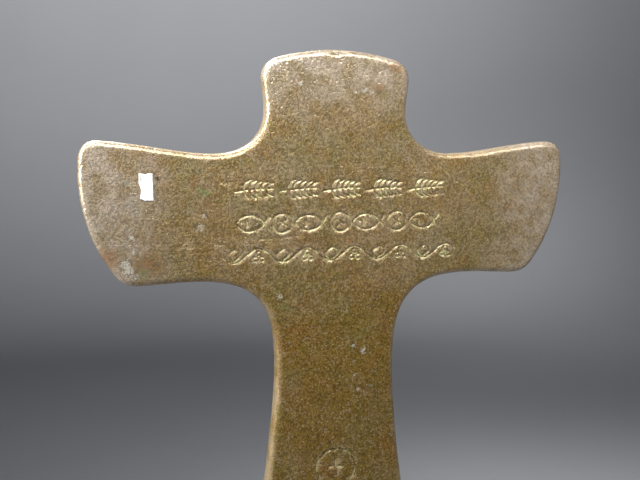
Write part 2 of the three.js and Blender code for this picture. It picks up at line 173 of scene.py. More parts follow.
def circle(sides: int) -> Array:
    """Points evenly round a circle of radius 1, one a row."""
    turn = 2 * np.pi * np.arange(sides) / sides
    return np.stack([np.cos(turn), np.sin(turn)], axis=1)


def lying(flat: Array, z: Union[float, Array]) -> Array:
    """Sets places that are seen from above at a height."""
    return np.column_stack([flat, np.broadcast_to(z, len(flat))])


def standing(flat: Array, y: Union[float, Array]) -> Array:
    """Sets places that are seen from the front at a place along Y."""
    return np.column_stack([flat[:, 0], np.broadcast_to(y, len(flat)), flat[:, 1]])


def arc(middle: Sequence[float], radii: Sequence[float], start: float, end: float, steps: int = 24) -> Array:
    """A stretch of an ellipse.

    Args:
        middle: Its middle.
        radii: Its two half widths.
        start: The angle that it starts at, in degrees.
        end: The angle that it ends at, in degrees.
        steps: How many pieces it has.

    Returns:
        Its points, one a row.
    """
    turn = np.radians(np.linspace(start, end, steps + 1))
    return np.stack([middle[0] + radii[0] * np.cos(turn), middle[1] + radii[1] * np.sin(turn)], axis=1)


def superellipse(half_x: float, half_y: float, squareness: float, count: int) -> Array:
    """A rounded rectangle as one closed curve.

    Args:
        half_x: Half its length.
        half_y: Half its width.
        squareness: 2 is an ellipse, and larger is squarer.
        count: How many points it has.

    Returns:
        Its points, one a row, closer together at the corners.
    """
    turn = 2 * np.pi * np.arange(count) / count
    c, s = np.cos(turn), np.sin(turn)
    power = 2.0 / squareness
    across, along = half_x * np.sign(c) * np.abs(c) ** power, half_y * np.sign(s) * np.abs(s) ** power
    return np.stack([across, along], axis=1)


def inside(points: Array, outline: Array) -> Array:
    """Tells which points lie inside a closed outline.

    Args:
        points: The points to test, one a row.
        outline: The outline's points, in order.

    Returns:
        True or False for each point.
    """
    ax, ay = outline[:, 0], outline[:, 1]
    bx, by = np.roll(ax, -1), np.roll(ay, -1)
    rise = np.where(by == ay, 1e-12, by - ay)
    result = np.zeros(len(points), bool)
    for first in range(0, len(points), 4000):
        x, y = points[first : first + 4000, 0:1], points[first : first + 4000, 1:2]
        crosses = ((ay > y) != (by > y)) & (x < (bx - ax) * (y - ay) / rise + ax)
        result[first : first + 4000] = crosses.sum(axis=1) % 2 == 1
    return result


class Nearest:
    """Finds the nearest of many flat points."""

    def __init__(self, points: Array) -> None:
        """Takes the points, one a row."""
        self.tree = KDTree(len(points))
        for i, (x, y) in enumerate(points):
            self.tree.insert((x, y, 0.0), i)
        self.tree.balance()

    def find(self, points: Array) -> tuple[Array, Array]:
        """Looks up each point.

        Args:
            points: The places to look from, one a row.

        Returns:
            The distance to the nearest point, and that point's number.
        """
        found = [self.tree.find((x, y, 0.0)) for x, y in points]
        return np.array([row[2] for row in found]), np.array([row[1] for row in found])


def hexagonal(outline: Array, spacing: float, margin: float) -> Array:
    """An even field of points inside an outline.

    Args:
        outline: The closed outline.
        spacing: The distance between neighbours.
        margin: How far they stay from the outline.

    Returns:
        The points, one a row.
    """
    low, high = outline.min(axis=0), outline.max(axis=0)
    rows = []
    row_step = spacing * math.sqrt(0.75)
    for number, y in enumerate(np.arange(low[1] + margin, high[1], row_step)):
        x = np.arange(low[0] + spacing * (0.5 if number % 2 else 1.0), high[0], spacing)
        rows.append(np.stack([x, np.full_like(x, y)], axis=1))
    field_points = np.concatenate(rows)
    field_points = field_points[inside(field_points, outline)]
    edge = np.vstack([outline, outline[:1]])
    away, _ = Nearest(spaced(edge, min(spacing, 0.3) / 2)).find(field_points)
    return field_points[away > margin]


def triangles(outline: Array, inner: Array) -> tuple[Array, Faces]:
    """Fills a closed outline with triangles that use every inner point.

    Args:
        outline: The closed outline, in order.
        inner: Points inside it.

    Returns:
        All the points, the outline's first and in order, and the triangles, anticlockwise.
    """
    given = np.vstack([outline, inner]) if len(inner) else outline
    count = len(outline)
    edges = [(i, (i + 1) % count) for i in range(count)]
    made = delaunay_2d_cdt([Vector(p) for p in given], edges, [], 0, 1e-7, True)
    source = np.array([ids[0] for ids in made[3]])
    faces = source[np.array(made[2])]
    faces = faces[inside(given[faces].mean(axis=1), outline)]
    return given, [tuple(face) for face in faces.tolist()]


# ---- meshes -------------------------------------------------------------------------------


def placed(name: str, data: object) -> Piece:
    """Makes an object of a mesh, a lamp or a camera and links it to the scene."""
    piece = bpy.data.objects.new(name, data)
    bpy.context.scene.collection.objects.link(piece)
    return piece


@contextmanager
def editing(piece: Piece) -> Iterator[bmesh.types.BMesh]:
    """Opens a piece's mesh for changes, and keeps the changed mesh with its faces shaded smooth."""
    form = bmesh.new()
    form.from_mesh(piece.data)
    yield form
    for face in form.faces:
        face.smooth = True
    form.to_mesh(piece.data)
    form.free()


def build(name: str, points: Array, faces: Faces) -> Piece:
    """Makes an object from points and faces.

    Args:
        name: The object's name.
        points: Its points in millimetres, one a row.
        faces: Its faces, as point numbers.

    Returns:
        The object, with its faces pointing out.
    """
    mesh = bpy.data.meshes.new(name)
    mesh.from_pydata((np.asarray(points, float) * MM).tolist(), [], faces)
    return face_out(placed(name, mesh))


def face_out(piece: Piece) -> Piece:
    """Merges a piece's doubled points and turns every face outwards."""
    with editing(piece) as form:
        bmesh.ops.remove_doubles(form, verts=form.verts, dist=1e-7)
        bmesh.ops.recalc_face_normals(form, faces=form.faces)
    return piece


def settle(piece: Piece) -> Piece:
    """Turns a piece with modifiers into a plain mesh and removes the modifiers."""
    bpy.context.view_layer.update()
    graph = bpy.context.evaluated_depsgraph_get()
    mesh = bpy.data.meshes.new_from_object(piece.evaluated_get(graph))
    piece.modifiers.clear()
    piece.data = mesh
    mesh.name = piece.name
    return piece


def discard(*pieces: Piece) -> None:
    """Removes helper objects."""
    for piece in pieces:
        bpy.data.objects.remove(piece)


def weld(name: str, parts: Iterable[Piece]) -> Piece:
    """Puts several objects into one mesh.

    Args:
        name: The new object's name.
        parts: The objects, which are removed.

    Returns:
        The new object.
    """
    form = bmesh.new()
    for part in list(parts):
        form.from_mesh(part.data)
        discard(part)
    mesh = bpy.data.meshes.new(name)
    form.to_mesh(mesh)
    form.free()
    return placed(name, mesh)


def cast_in_one(name: str, parts: Iterable[Piece], grain: float, passes: int = 3) -> Piece:
    """Fuses overlapping forms into one skin with small fillets, as a casting has.

    Args:
        name: The casting's name.
        parts: The closed forms, which are removed.
        grain: The size of the skin's faces, in millimetres.
        passes: How often the skin is smoothed.

    Returns:
        The casting.
    """
    piece = weld(name, parts)
    skin = piece.modifiers.new("skin", "REMESH")
    skin.mode = "VOXEL"
    skin.voxel_size = grain * MM
    skin.use_smooth_shade = True
    soften = piece.modifiers.new("soften", "SMOOTH")
    soften.iterations = passes
    return settle(piece)


def cut_back(piece: Piece, level: float = CASTING_BACK) -> Piece:
    """Cuts a casting off flat at its back and closes the cut.

    Args:
        piece: The casting.
        level: The back's place along Y, in millimetres.

    Returns:
        The same piece.
    """
    with editing(piece) as form:
        everything = form.verts[:] + form.edges[:] + form.faces[:]
        cut = bmesh.ops.bisect_plane(
            form, geom=everything, plane_co=(0, level * MM, 0), plane_no=(0, 1, 0), clear_outer=True
        )
        rim = [part for part in cut["geom_cut"] if isinstance(part, bmesh.types.BMEdge)]
        filled = bmesh.ops.edgenet_fill(form, edges=rim)
        bmesh.ops.triangulate(form, faces=filled["faces"])
        bmesh.ops.recalc_face_normals(form, faces=form.faces)
    return piece


def store(piece: Piece, name: str, values: Array) -> None:
    """Keeps one number for each point of a piece, for its material to read."""
    attribute = piece.data.attributes.new(name, "FLOAT", "POINT")
    attribute.data.foreach_set("value", np.asarray(values, np.float32))


def mesh_points(piece: Piece) -> Array:
    """The points of a piece in millimetres, one a row."""
    flat = np.empty(len(piece.data.vertices) * 3, np.float32)
    piece.data.vertices.foreach_get("co", flat)
    return flat.reshape(-1, 3).astype(float) / MM


def set_points(piece: Piece, points: Array) -> None:
    """Moves the points of a piece to places in millimetres, one a row."""
    piece.data.vertices.foreach_set("co", (points * MM).astype(np.float32).ravel())


def mark_wear(piece: Piece, passes: int = 6, gain: float = 4.0) -> Piece:
    """Works out where hands rub a piece and where dirt stays, as the attribute "wear".

    A point that stands out from its surroundings comes near 1, a flat stretch is 0.5 and a
    hollow comes near 0.

    Args:
        piece: The piece.
        passes: How wide the surroundings are, in rings of neighbours.
        gain: How much a millimetre counts.

    Returns:
        The same piece.
    """
    mesh = piece.data
    points = mesh_points(piece)
    count = len(points)
    ends = np.empty(len(mesh.edges) * 2, np.int32)
    mesh.edges.foreach_get("vertices", ends)
    one, other = ends[0::2], ends[1::2]
    normals = np.empty(count * 3, np.float32)
    mesh.vertex_normals.foreach_get("vector", normals)
    normals = normals.reshape(-1, 3)
    degree = np.maximum(np.bincount(ends, minlength=count), 1)

    def averaged(values: Array) -> Array:
        """The mean of each point's neighbours."""
        total = np.bincount(one, values[other], count) + np.bincount(other, values[one], count)
        return total / degree

    around = points.copy()
    for _ in range(passes):
        for k in range(3):
            around[:, k] = averaged(around[:, k])
    proud = ((points - around) * normals).sum(axis=1)
    proud = 0.5 * (proud + averaged(proud))
    store(piece, "wear", np.clip(0.5 + gain * proud, 0.0, 1.0))
    return piece


def tube(name: str, path: Array, radius: Union[float, Array], sides: int = 12) -> Piece:
    """A closed round bar along a path.

    Args:
        name: The object's name.
        path: The middle line, one point a row.
        radius: Its radius, or one for each point.
        sides: How many sides it has.

    Returns:
        The object.
    """
    radii = np.full(len(path), radius) if np.isscalar(radius) else np.asarray(radius)
    along = np.gradient(path, axis=0)
    along /= np.linalg.norm(along, axis=1)[:, None]
    across = np.cross(along, (0.0, 1.0, 0.0))
    across /= np.maximum(np.linalg.norm(across, axis=1), 1e-9)[:, None]
    over = np.cross(across, along)
    turn = 2 * np.pi * np.arange(sides) / sides
    ring = np.cos(turn)[:, None, None] * across + np.sin(turn)[:, None, None] * over
    points = (path + ring * radii[:, None]).transpose(1, 0, 2).reshape(-1, 3)
    points = np.vstack([points, path[0], path[-1]])
    return build(name, points, rings_to_faces(len(path), sides, True))


def bar(start: Sequence[float], end: Sequence[float], radii: Sequence[float], bow: float = 0.0) -> Piece:
    """A short round bar with three radii, bowed towards -Y in its middle."""
    first, last = np.asarray(start, float), np.asarray(end, float)
    return tube("bar", np.array([first, (first + last) / 2 - (0, bow, 0), last]), np.array(radii), 8)


def rings_to_faces(rings: int, sides: int, capped: bool) -> Faces:
    """Joins rings of points into faces.

    Args:
        rings: How many rings there are, each of the same number of points, one after another.
        sides: How many points each ring has.
        capped: True closes both ends with two middle points, which follow the rings.

    Returns:
        The faces.
    """
    faces: Faces = []
    for ring in range(rings - 1):
        for i in range(sides):
            after = (i + 1) % sides
            low, high = ring * sides, (ring + 1) * sides
            faces.append((low + i, low + after, high + after, high + i))
    if capped:
        first, last = rings * sides, rings * sides + 1
        top = (rings - 1) * sides
        for i in range(sides):
            after = (i + 1) % sides
            faces.append((first, after, i))
            faces.append((last, top + i, top + after))
    return faces


def turned(
    name: str, profile: Array, sides: int, middle: Sequence[float] = (0.0, 0.0), hollow: bool = False
) -> Piece:
    """A form turned round an upright axis.

    Args:
        name: The object's name.
        profile: Radius and height of each point, from one end to the other.
        sides: How many points each ring has.
        middle: Where the axis stands.
        hollow: True joins the last ring to the first, for a ring-shaped form.

    Returns:
        The object.
    """
    rows = [lying(circle(sides) * radius + np.array(middle), z) for radius, z in profile]
    if hollow:
        rows.append(rows[0])
        return build(name, np.vstack(rows), rings_to_faces(len(rows), sides, False))
    rows.append(np.array([[middle[0], middle[1], profile[0][1]], [middle[0], middle[1], profile[-1][1]]]))
    return build(name, np.vstack(rows), rings_to_faces(len(profile), sides, True))


def sandwich(
    name: str, flat: Array, fill: Faces, rim: int, front: Union[float, Array], rear: Union[float, Array]
) -> Piece:
    """A thin closed form between two surfaces.

    Args:
        name: The object's name.
        flat: The places of both surfaces as X and height, with the rim's first.
        fill: The triangles between them.
        rim: How many places the rim has.
        front: Where the first surface lies along Y.
        rear: Where the other one lies.

    Returns:
        The object.
    """
    count = len(flat)
    faces: Faces = list(fill) + [tuple(count + i for i in reversed(face)) for face in fill]
    for i in range(rim):
        after = (i + 1) % rim
        faces.append((i, after, count + after, count + i))
    return build(name, np.vstack([standing(flat, front), standing(flat, rear)]), faces)


def patch(name: str, outline: Array, rise: Callable[[Array], Array], back: float, spacing: float) -> Piece:
    """A flat-backed form with a shaped front.

    Args:
        name: The object's name.
        outline: Its closed outline, as X and height.
        rise: Gives how far the front stands out at places, one a row.
        back: The back's place along Y.
        spacing: The distance between the points of the front.

    Returns:
        The object, standing out towards -Y.
    """
    flat, fill = triangles(outline, hexagonal(outline, spacing, 0.5 * spacing))
    return sandwich(name, flat, fill, len(outline), back - rise(flat), back)


def disc_relief(
    name: str, middle: Sequence[float], radii: Array, sides: int, rise: Callable[[Array], Array]
) -> Piece:
    """A round flat-backed form with a shaped front.

    Args:
        name: The object's name.
        middle: Its middle, as X and height.
        radii: The radius of each ring of points, from the middle out.
        sides: How many points each ring has.
        rise: Gives how far the front stands out, at places measured from the middle.

    Returns:
        The object, standing out towards -Y from the castings' back.
    """
    flat = np.vstack([circle(sides) * radius for radius in radii])
    edge = standing(circle(sides) * radii[-1], CASTING_BACK)
    ends = [[0, CASTING_BACK - float(rise(np.zeros((1, 2)))[0]), 0], [0, CASTING_BACK, 0]]
    points = np.vstack([standing(flat, CASTING_BACK - rise(flat)), edge, ends])
    points += (middle[0], 0.0, middle[1])
    return build(name, points, rings_to_faces(len(radii) + 1, sides, True))


# ---- geometry nodes -----------------------------------------------------------------------


class NodeTree:
    """Places and wires the nodes of one tree."""

    def __init__(self, tree: bpy.types.NodeTree) -> None:
        """Takes the tree to work on."""
        self.tree = tree

    def node(self, kind: str, wires: Optional[dict] = None, **settings: object) -> bpy.types.Node:
        """Adds a node.

        Args:
            kind: The node's type.
            wires: What feeds its inputs, by their name or number.
            settings: Its own settings, by name.

        Returns:
            The node.
        """
        made = self.tree.nodes.new(kind)
        for key, value in settings.items():
            setattr(made, key, value)
        for key, source in (wires or {}).items():
            self.feed(made.inputs[key], source)
        return made

    def feed(self, socket: Socket, source: object) -> None:
        """Wires a socket to another one, or gives it a plain value."""
        if isinstance(source, bpy.types.NodeSocket):
            self.tree.links.new(source, socket)
        else:
            socket.default_value = source


def new_tree(name: str, inputs: Sequence[tuple[str, str, object]]) -> tuple[NodeTree, object]:
    """Starts a geometry tree with one geometry in and one out, and a material.

    Args:
        name: The tree's name.
        inputs: Name, kind and first value of each further input.

    Returns:
        The tree and what its input node gives.
    """
    tree = bpy.data.node_groups.new(name, "GeometryNodeTree")
    tree.interface.new_socket("Geometry", in_out="OUTPUT", socket_type="NodeSocketGeometry")
    for label, kind, value in (("Geometry", "Geometry", None), *inputs, ("Material", "Material", None)):
        made = tree.interface.new_socket(label, in_out="INPUT", socket_type="NodeSocket" + kind)
        if value is not None:
            made.default_value = value
    board = NodeTree(tree)
    return board, board.node("NodeGroupInput").outputs


def end_tree(board: NodeTree, copies: bpy.types.Node, material: Socket) -> bpy.types.NodeTree:
    """Ends a geometry tree with real copies, shaded smooth and with their material, and gives it."""
    real = board.node("GeometryNodeRealizeInstances", {"Geometry": copies.outputs["Instances"]})
    smooth = board.node("GeometryNodeSetShadeSmooth", {"Geometry": real.outputs["Geometry"]})
    wires = {"Geometry": smooth.outputs["Geometry"], "Material": material}
    dress = board.node("GeometryNodeSetMaterial", wires)
    board.node("NodeGroupOutput", {"Geometry": dress.outputs["Geometry"]})
    return board.tree


@lru_cache(maxsize=None)
def copies_tree() -> bpy.types.NodeTree:
    """A tree that sets a copy of a shape on every point, turned and sized by the point."""
    sizes = [("Least size", "Float", 1.0), ("Greatest size", "Float", 1.0), ("Seed", "Int", 1)]
    board, given = new_tree("copies_on_points", [("Shape", "Object", None), *sizes])
    shape = board.node("GeometryNodeObjectInfo", {"Object": given["Shape"]})
    turn = board.node("GeometryNodeInputNamedAttribute", {"Name": "turn"}, data_type="FLOAT_VECTOR")
    size = board.node("GeometryNodeInputNamedAttribute", {"Name": "size"}, data_type="FLOAT_VECTOR")
    rotation = board.node("FunctionNodeEulerToRotation", {"Euler": turn.outputs[0]})
    limits = {2: given["Least size"], 3: given["Greatest size"], "Seed": given["Seed"]}
    chance = board.node("FunctionNodeRandomValue", limits, data_type="FLOAT")
    sized = {0: size.outputs[0], "Scale": chance.outputs[1]}
    scale = board.node("ShaderNodeVectorMath", sized, operation="SCALE")
    wires = {"Points": given["Geometry"], "Instance": shape.outputs["Geometry"]}
    wires |= {"Rotation": rotation.outputs["Rotation"], "Scale": scale.outputs[0]}
    return end_tree(board, board.node("GeometryNodeInstanceOnPoints", wires), given["Material"])


@lru_cache(maxsize=None)
def beads_tree() -> bpy.types.NodeTree:
    """A tree that sets beads along the edges it is given, at an even distance."""
    board, given = new_tree("beads_along_path", [("Count", "Int", 24), ("Bead radius", "Float", 0.5 * MM)])
    path = board.node("GeometryNodeMeshToCurve", {"Mesh": given["Geometry"]})
    wires = {"Curve": path.outputs["Curve"], "Count": given["Count"]}
    even = board.node("GeometryNodeResampleCurve", wires, mode="COUNT")
    bead = board.node("GeometryNodeMeshIcoSphere", {"Subdivisions": 3, "Radius": given["Bead radius"]})
    wires = {"Points": even.outputs["Curve"], "Instance": bead.outputs["Mesh"]}
    return end_tree(board, board.node("GeometryNodeInstanceOnPoints", wires), given["Material"])


@lru_cache(maxsize=None)
def fibres_tree() -> bpy.types.NodeTree:
    """A tree that stands short leaning fibres on the faces it is given."""
    sizes = [("Density", "Float", 1000.0), ("Least size", "Float", 0.5), ("Greatest size", "Float", 1.0)]
    board, given = new_tree("fibres_on_faces", [("Shape", "Object", None), *sizes, ("Seed", "Int", 1)])
    shape = board.node("GeometryNodeObjectInfo", {"Object": given["Shape"]})
    wires = {"Mesh": given["Geometry"], "Density": given["Density"], "Seed": given["Seed"]}
    spots = board.node("GeometryNodeDistributePointsOnFaces", wires)
    wires = {0: (-1.1, -1.1, 0.0), 1: (1.1, 1.1, 2 * math.pi), "Seed": given["Seed"]}
    lean = board.node("FunctionNodeRandomValue", wires, data_type="FLOAT_VECTOR")
    rotation = board.node("FunctionNodeEulerToRotation", {"Euler": lean.outputs[0]})
    wires = {"Rotation": spots.outputs["Rotation"], "Rotate By": rotation.outputs["Rotation"]}
    rotate = board.node("FunctionNodeRotateRotation", wires, rotation_space="LOCAL")
    limits = {2: given["Least size"], 3: given["Greatest size"], "Seed": given["Seed"]}
    chance = board.node("FunctionNodeRandomValue", limits, data_type="FLOAT")
    wires = {"Points": spots.outputs["Points"], "Instance": shape.outputs["Geometry"]}
    wires |= {"Rotation": rotate.outputs["Rotation"], "Scale": chance.outputs[1]}
    return end_tree(board, board.node("GeometryNodeInstanceOnPoints", wires), given["Material"])


def grow(piece: Piece, tree: bpy.types.NodeTree, **values: object) -> Piece:
    """Runs a geometry tree on a piece and keeps the result as its mesh.

    Args:
        piece: The piece.
        tree: The tree.
        values: The tree's inputs, with _ for each space in their names.

    Returns:
        The same piece.
    """
    modifier = piece.modifiers.new(tree.name, "NODES")
    modifier.node_group = tree
    for item in tree.interface.items_tree:
        key = item.name.replace(" ", "_")
        if item.in_out == "INPUT" and key in values:
            modifier[item.identifier] = values[key]
    return settle(piece)


def copies(
    name: str,
    shape: Piece,
    places: Array,
    turns: Array,
    sizes: Array,
    material: bpy.types.Material,
    vary: float = 0.0,
    seed: int = 1,
) -> Piece:
    """Sets a copy of a shape at each place.

    Args:
        name: The new object's name.
        shape: The shape, drawn round the origin, which is removed afterwards.
        places: Where the copies stand, in millimetres, one a row.
        turns: How each is turned, as three angles in radians.
        sizes: How each is stretched along its own three directions.
        material: Their material.
        vary: How much the sizes vary by chance, as a share.
        seed: Settles the chance.

    Returns:
        The copies as one mesh.
    """
    piece = build(name, places, [])
    for label, rows in (("turn", turns), ("size", sizes)):
        attribute = piece.data.attributes.new(label, "FLOAT_VECTOR", "POINT")
        attribute.data.foreach_set("vector", np.asarray(rows, np.float32).ravel())
    limits = {"Least_size": 1.0 - vary, "Greatest_size": 1.0 + vary}
    grow(piece, copies_tree(), Shape=shape, Seed=seed, Material=material, **limits)
    discard(shape)
    return piece


def ball(name: str, radii: Sequence[float], fineness: int = 3) -> Piece:
    """A round form about the origin with three radii, in millimetres."""
    form = bmesh.new()
    bmesh.ops.create_icosphere(form, subdivisions=fineness, radius=1.0)
    points = np.array([point.co for point in form.verts]) * np.array(radii)
    faces = [tuple(point.index for point in face.verts) for face in form.faces]
    form.free()
    return build(name, points, faces)


# ---- engraving ----------------------------------------------------------------------------


class Tool(Enum):
    """The gravers: half the width of the line, its depth, and how pale the line has stayed."""

    ORNAMENT = (0.27, 0.26, 1.0)
    HAIRLINE = (0.16, 0.10, 0.75)
    BORDER = (0.30, 0.24, 0.0)
    FLAW = (0.36, 0.50, -1.0)


@dataclass
class Cuts:
    """The lines cut into one face of the plate, as a hand leaves them: never quite even."""

    seed: float
    paths: list[Array] = field(default_factory=list)
    tools: list[Tool] = field(default_factory=list)

    def add(self, path: Array, tool: Tool, wobble: float = 0.10) -> None:
        """Adds a line.

        Args:
            path: Its points as X and height.
            tool: What cuts it.
            wobble: How far the hand strays, in millimetres.
        """
        fine = spaced(np.asarray(path, float), 0.08)
        shift = self.seed + 3.7 * len(self.paths)
        fine[:, 0] += wobble * lumps(fine, 2.2, shift)
        fine[:, 1] += wobble * lumps(fine, 2.2, shift + 50.0)
        self.paths.append(fine)
        self.tools.append(tool)

    def finish(self) -> None:
        """Gets ready to answer how deep the lines are at a place."""
        widths, depths, tints = [], [], []
        for number, (path, tool) in enumerate(zip(self.paths, self.tools)):
            half_width, depth, tint = tool.value
            force = 0.80 + 0.45 * lumps(path, 1.6, self.seed + number)
            ends = np.minimum(np.arange(len(path)), np.arange(len(path))[::-1])
            force = np.clip(force, 0.3, 1.15) * ease(ends.astype(float), -2.0, 5.0)
            widths.append(half_width * (0.75 + 0.25 * force))
            depths.append(depth * force)
            patchy = 0.95 + 0.6 * lumps(path, 0.9, self.seed - number)
            tints.append(tint * np.clip(force * patchy, 0.0, 1.1))
        self.width, self.depth, self.tint = (np.concatenate(rows) for rows in (widths, depths, tints))
        self.near = Nearest(np.concatenate(self.paths))

    def at(self, points: Array) -> tuple[Array, Array]:
        """Measures the lines at places on the face.

        Args:
            points: The places, as X and height.

        Returns:
            How far the surface lies below the uncut one, and how strongly the line is tinted.
        """
        away, number = self.near.find(points)
        half = self.width[number]
        share = np.clip(1.0 - (away / half) ** 2, 0.0, 1.0)
        burr = 0.10 * np.exp(-(((away - half) / 0.12 - 0.8) ** 2))
        below = self.depth[number] * (share - burr)
        return below, self.tint[number] * np.sqrt(share)

    def guides(self) -> Array:
        """Points along and beside each line that let a mesh follow its walls."""
        rows = []
        for path, tool in zip(self.paths, self.tools):
            middle = spaced(path, 0.24)
            along = np.gradient(middle, axis=0)
            along /= np.maximum(np.linalg.norm(along, axis=1), 1e-9)[:, None]
            across = np.stack([-along[:, 1], along[:, 0]], axis=1)
            half = tool.value[0]
            rows += [middle + across * half * share for share in (0.0, 0.55, -0.55, 1.15, -1.15)]
        return thinned(np.concatenate(rows), 0.105)


def thinned(points: Array, least: float) -> Array:
    """Drops points that lie too close to an earlier one.

    Args:
        points: The points, the most wanted first.
        least: The least distance that two may have.

    Returns:
        The points that stay.
    """
    kept: dict[tuple[int, int], tuple[float, float]] = {}
    cell = least / math.sqrt(2.0)
    for x, y in points:
        column, row = int(x // cell), int(y // cell)
        near = [
            kept[(column + i, row + j)]
            for i in range(-2, 3)
            for j in range(-2, 3)
            if (column + i, row + j) in kept
        ]
        if all((x - a) ** 2 + (y - b) ** 2 >= least * least for a, b in near):
            kept[(column, row)] = (x, y)
    return np.array(list(kept.values()))


@dataclass(frozen=True)
class Ornament:
    """The engraved ornament of the back. Places are seen from behind: distance to the right of
    the middle, and depth below the crown."""

    ears: tuple[float, ...] = (-23.6, -13.6, -3.6, 6.4, 16.4)
    ears_depth: float = 30.7
    ear_length: float = 9.0
    fish_depth: float = 38.2
    fish_length: float = 7.6
    loaf_radius: float = 2.15
    fish_row: tuple[float, float] = (-23.2, 24.6)
    vine_depth: float = 45.4
    vine_row: tuple[float, float] = (-26.4, 29.0)
    vine_waves: int = 5
    mark_depth: float = 96.2
    mark_radius: float = 4.7

    def lines(self) -> list[Array]:
        """Every line of the ornament, as distance to the right and depth."""
        rows: list[Array] = []
        for start in self.ears:
            rows += self.ear(start)
        rows += self.fishes_and_loaves()
        rows += self.running_vine()
        return rows + self.mark()

    def ear(self, start: float) -> list[Array]:
        """An ear of wheat lying on its side, from its stalk on the left."""
        end = start + self.ear_length
        depth = self.ears_depth
        rows = [flowing([(start, depth + 0.5), (start + 4, depth), (end, depth - 0.2)])]
        for i in range(5):
            x = start + 2.2 + 1.25 * i
            reach = 2.15 - 0.16 * i
            for side in (-1, 1):
                tip = (x + 1.9, self.ears_depth + side * reach)
                bow = (x + 0.55, self.ears_depth + side * reach * 0.72)
                rows.append(flowing([(x, self.ears_depth), bow, tip], 6))
        return rows

    def little_fish(self, left: float) -> list[Array]:
        """A fish of two bows that cross at its tail, with an eye and a gill."""
        middle = left + 0.42 * self.fish_length
        half, bow = 0.42 * self.fish_length, 1.75
        rows = []
        for side in (-1, 1):
            points = [
                (left, self.fish_depth),
                (left + 0.4 * half, self.fish_depth + side * bow * 0.72),
                (middle, self.fish_depth + side * bow),
                (middle + 0.62 * half, self.fish_depth + side * bow * 0.66),
                (middle + half, self.fish_depth),
                (left + self.fish_length, self.fish_depth - side * bow * 0.95),
            ]
            rows.append(flowing(points, 8))
        rows.append(arc((left + 1.5, self.fish_depth - 0.3), (0.24, 0.24), 0, 360, 10))
        rows.append(arc((left + 1.7, self.fish_depth), (0.9, 1.15), -55, 55, 10))
        return rows

    def fishes_and_loaves(self) -> list[Array]:
        """The second row: fishes with a round loaf between each two."""
        first, last = self.fish_row
        pitch = (last - first - self.fish_length) / 3
        rows: list[Array] = []
        for i in range(4):
            left = first + i * pitch
            rows += self.little_fish(left)
            if i < 3:
                centre = (left + 0.5 * (pitch + self.fish_length), self.fish_depth)
                rows.append(arc(centre, (self.loaf_radius,) * 2, 20, 380, 30))
                for degrees in (38, 128):
                    reach = self.loaf_radius * 0.62
                    step = (reach * math.cos(math.radians(degrees)), reach * math.sin(math.radians(degrees)))
                    rows.append(np.array([np.subtract(centre, step), np.add(centre, step)]))
        return rows

    def running_vine(self) -> list[Array]:
        """The third row: a waving vine with grapes and curled leaves in its bends."""
        first, last = self.vine_row
        x = np.linspace(first, last, 160)
        phase = (x - first) / (last - first) * 2 * math.pi * self.vine_waves
        rows = [np.stack([x, self.vine_depth + 1.55 * np.sin(phase)], axis=1)]
        wave = (last - first) / self.vine_waves
        for i in range(2 * self.vine_waves):
            centre = first + (i + 0.5) * wave / 2
            side = 1 if i % 2 else -1
            if i % 2:
                for dx, dy in ((-0.75, 0.0), (0.75, 0.0), (0.0, -1.25)):
                    middle = (centre + dx, self.vine_depth + 0.75 + dy)
                    rows.append(arc(middle, (0.55, 0.55), 0, 360, 12))
            else:
                root = (centre - 0.2, self.vine_depth + side * -1.4)
                tip = (centre + 0.5, self.vine_depth + side * 1.6)
                for bow in (-1.35, 1.45):
                    rows.append(flowing([root, (centre + bow, self.vine_depth + side * 0.2), tip], 8))
        return rows

    def mark(self) -> list[Array]:
        """The plain mark low on the stem: a ring with a small cross in it."""
        centre, reach = (0.0, self.mark_depth), self.mark_radius * 0.55
        upright = np.array([(0.0, self.mark_depth - reach), (0.0, self.mark_depth + reach)])
        bar = np.array([(-reach * 0.8, self.mark_depth - 0.5), (reach * 0.8, self.mark_depth - 0.5)])
        return [arc(centre, (self.mark_radius,) * 2, -80, 280, 60), upright, bar]


class Mark(Enum):
    """Marks of age on the back: attribute, tone, strength, how bare the metal is and how rough."""

    RUST = ("rust", (0.290, 0.125, 0.038, 1), 0.60, 0.35, 0.55)
    GREEN = ("green", (0.200, 0.250, 0.085, 1), 0.75, 0.25, 0.60)
    CHALK = ("chalk", (0.620, 0.590, 0.490, 1), 0.80, 0.10, 0.65)
    SOOT = ("soot", (0.022, 0.018, 0.014, 1), 0.90, 0.20, 0.60)
    GLUE = ("glue", (0.400, 0.380, 0.300, 1), 0.50, 0.15, 0.16)


@dataclass(frozen=True)
class Stain:
    """One mark of age.

    Attributes:
        mark: Its kind.
        right: Distance to the right of the middle, seen from behind.
        depth: Depth below the crown.
        radius: Its size.
        strength: How strong it is in its middle.
    """

    mark: Mark
    right: float
    depth: float
    radius: float
    strength: float = 1.0


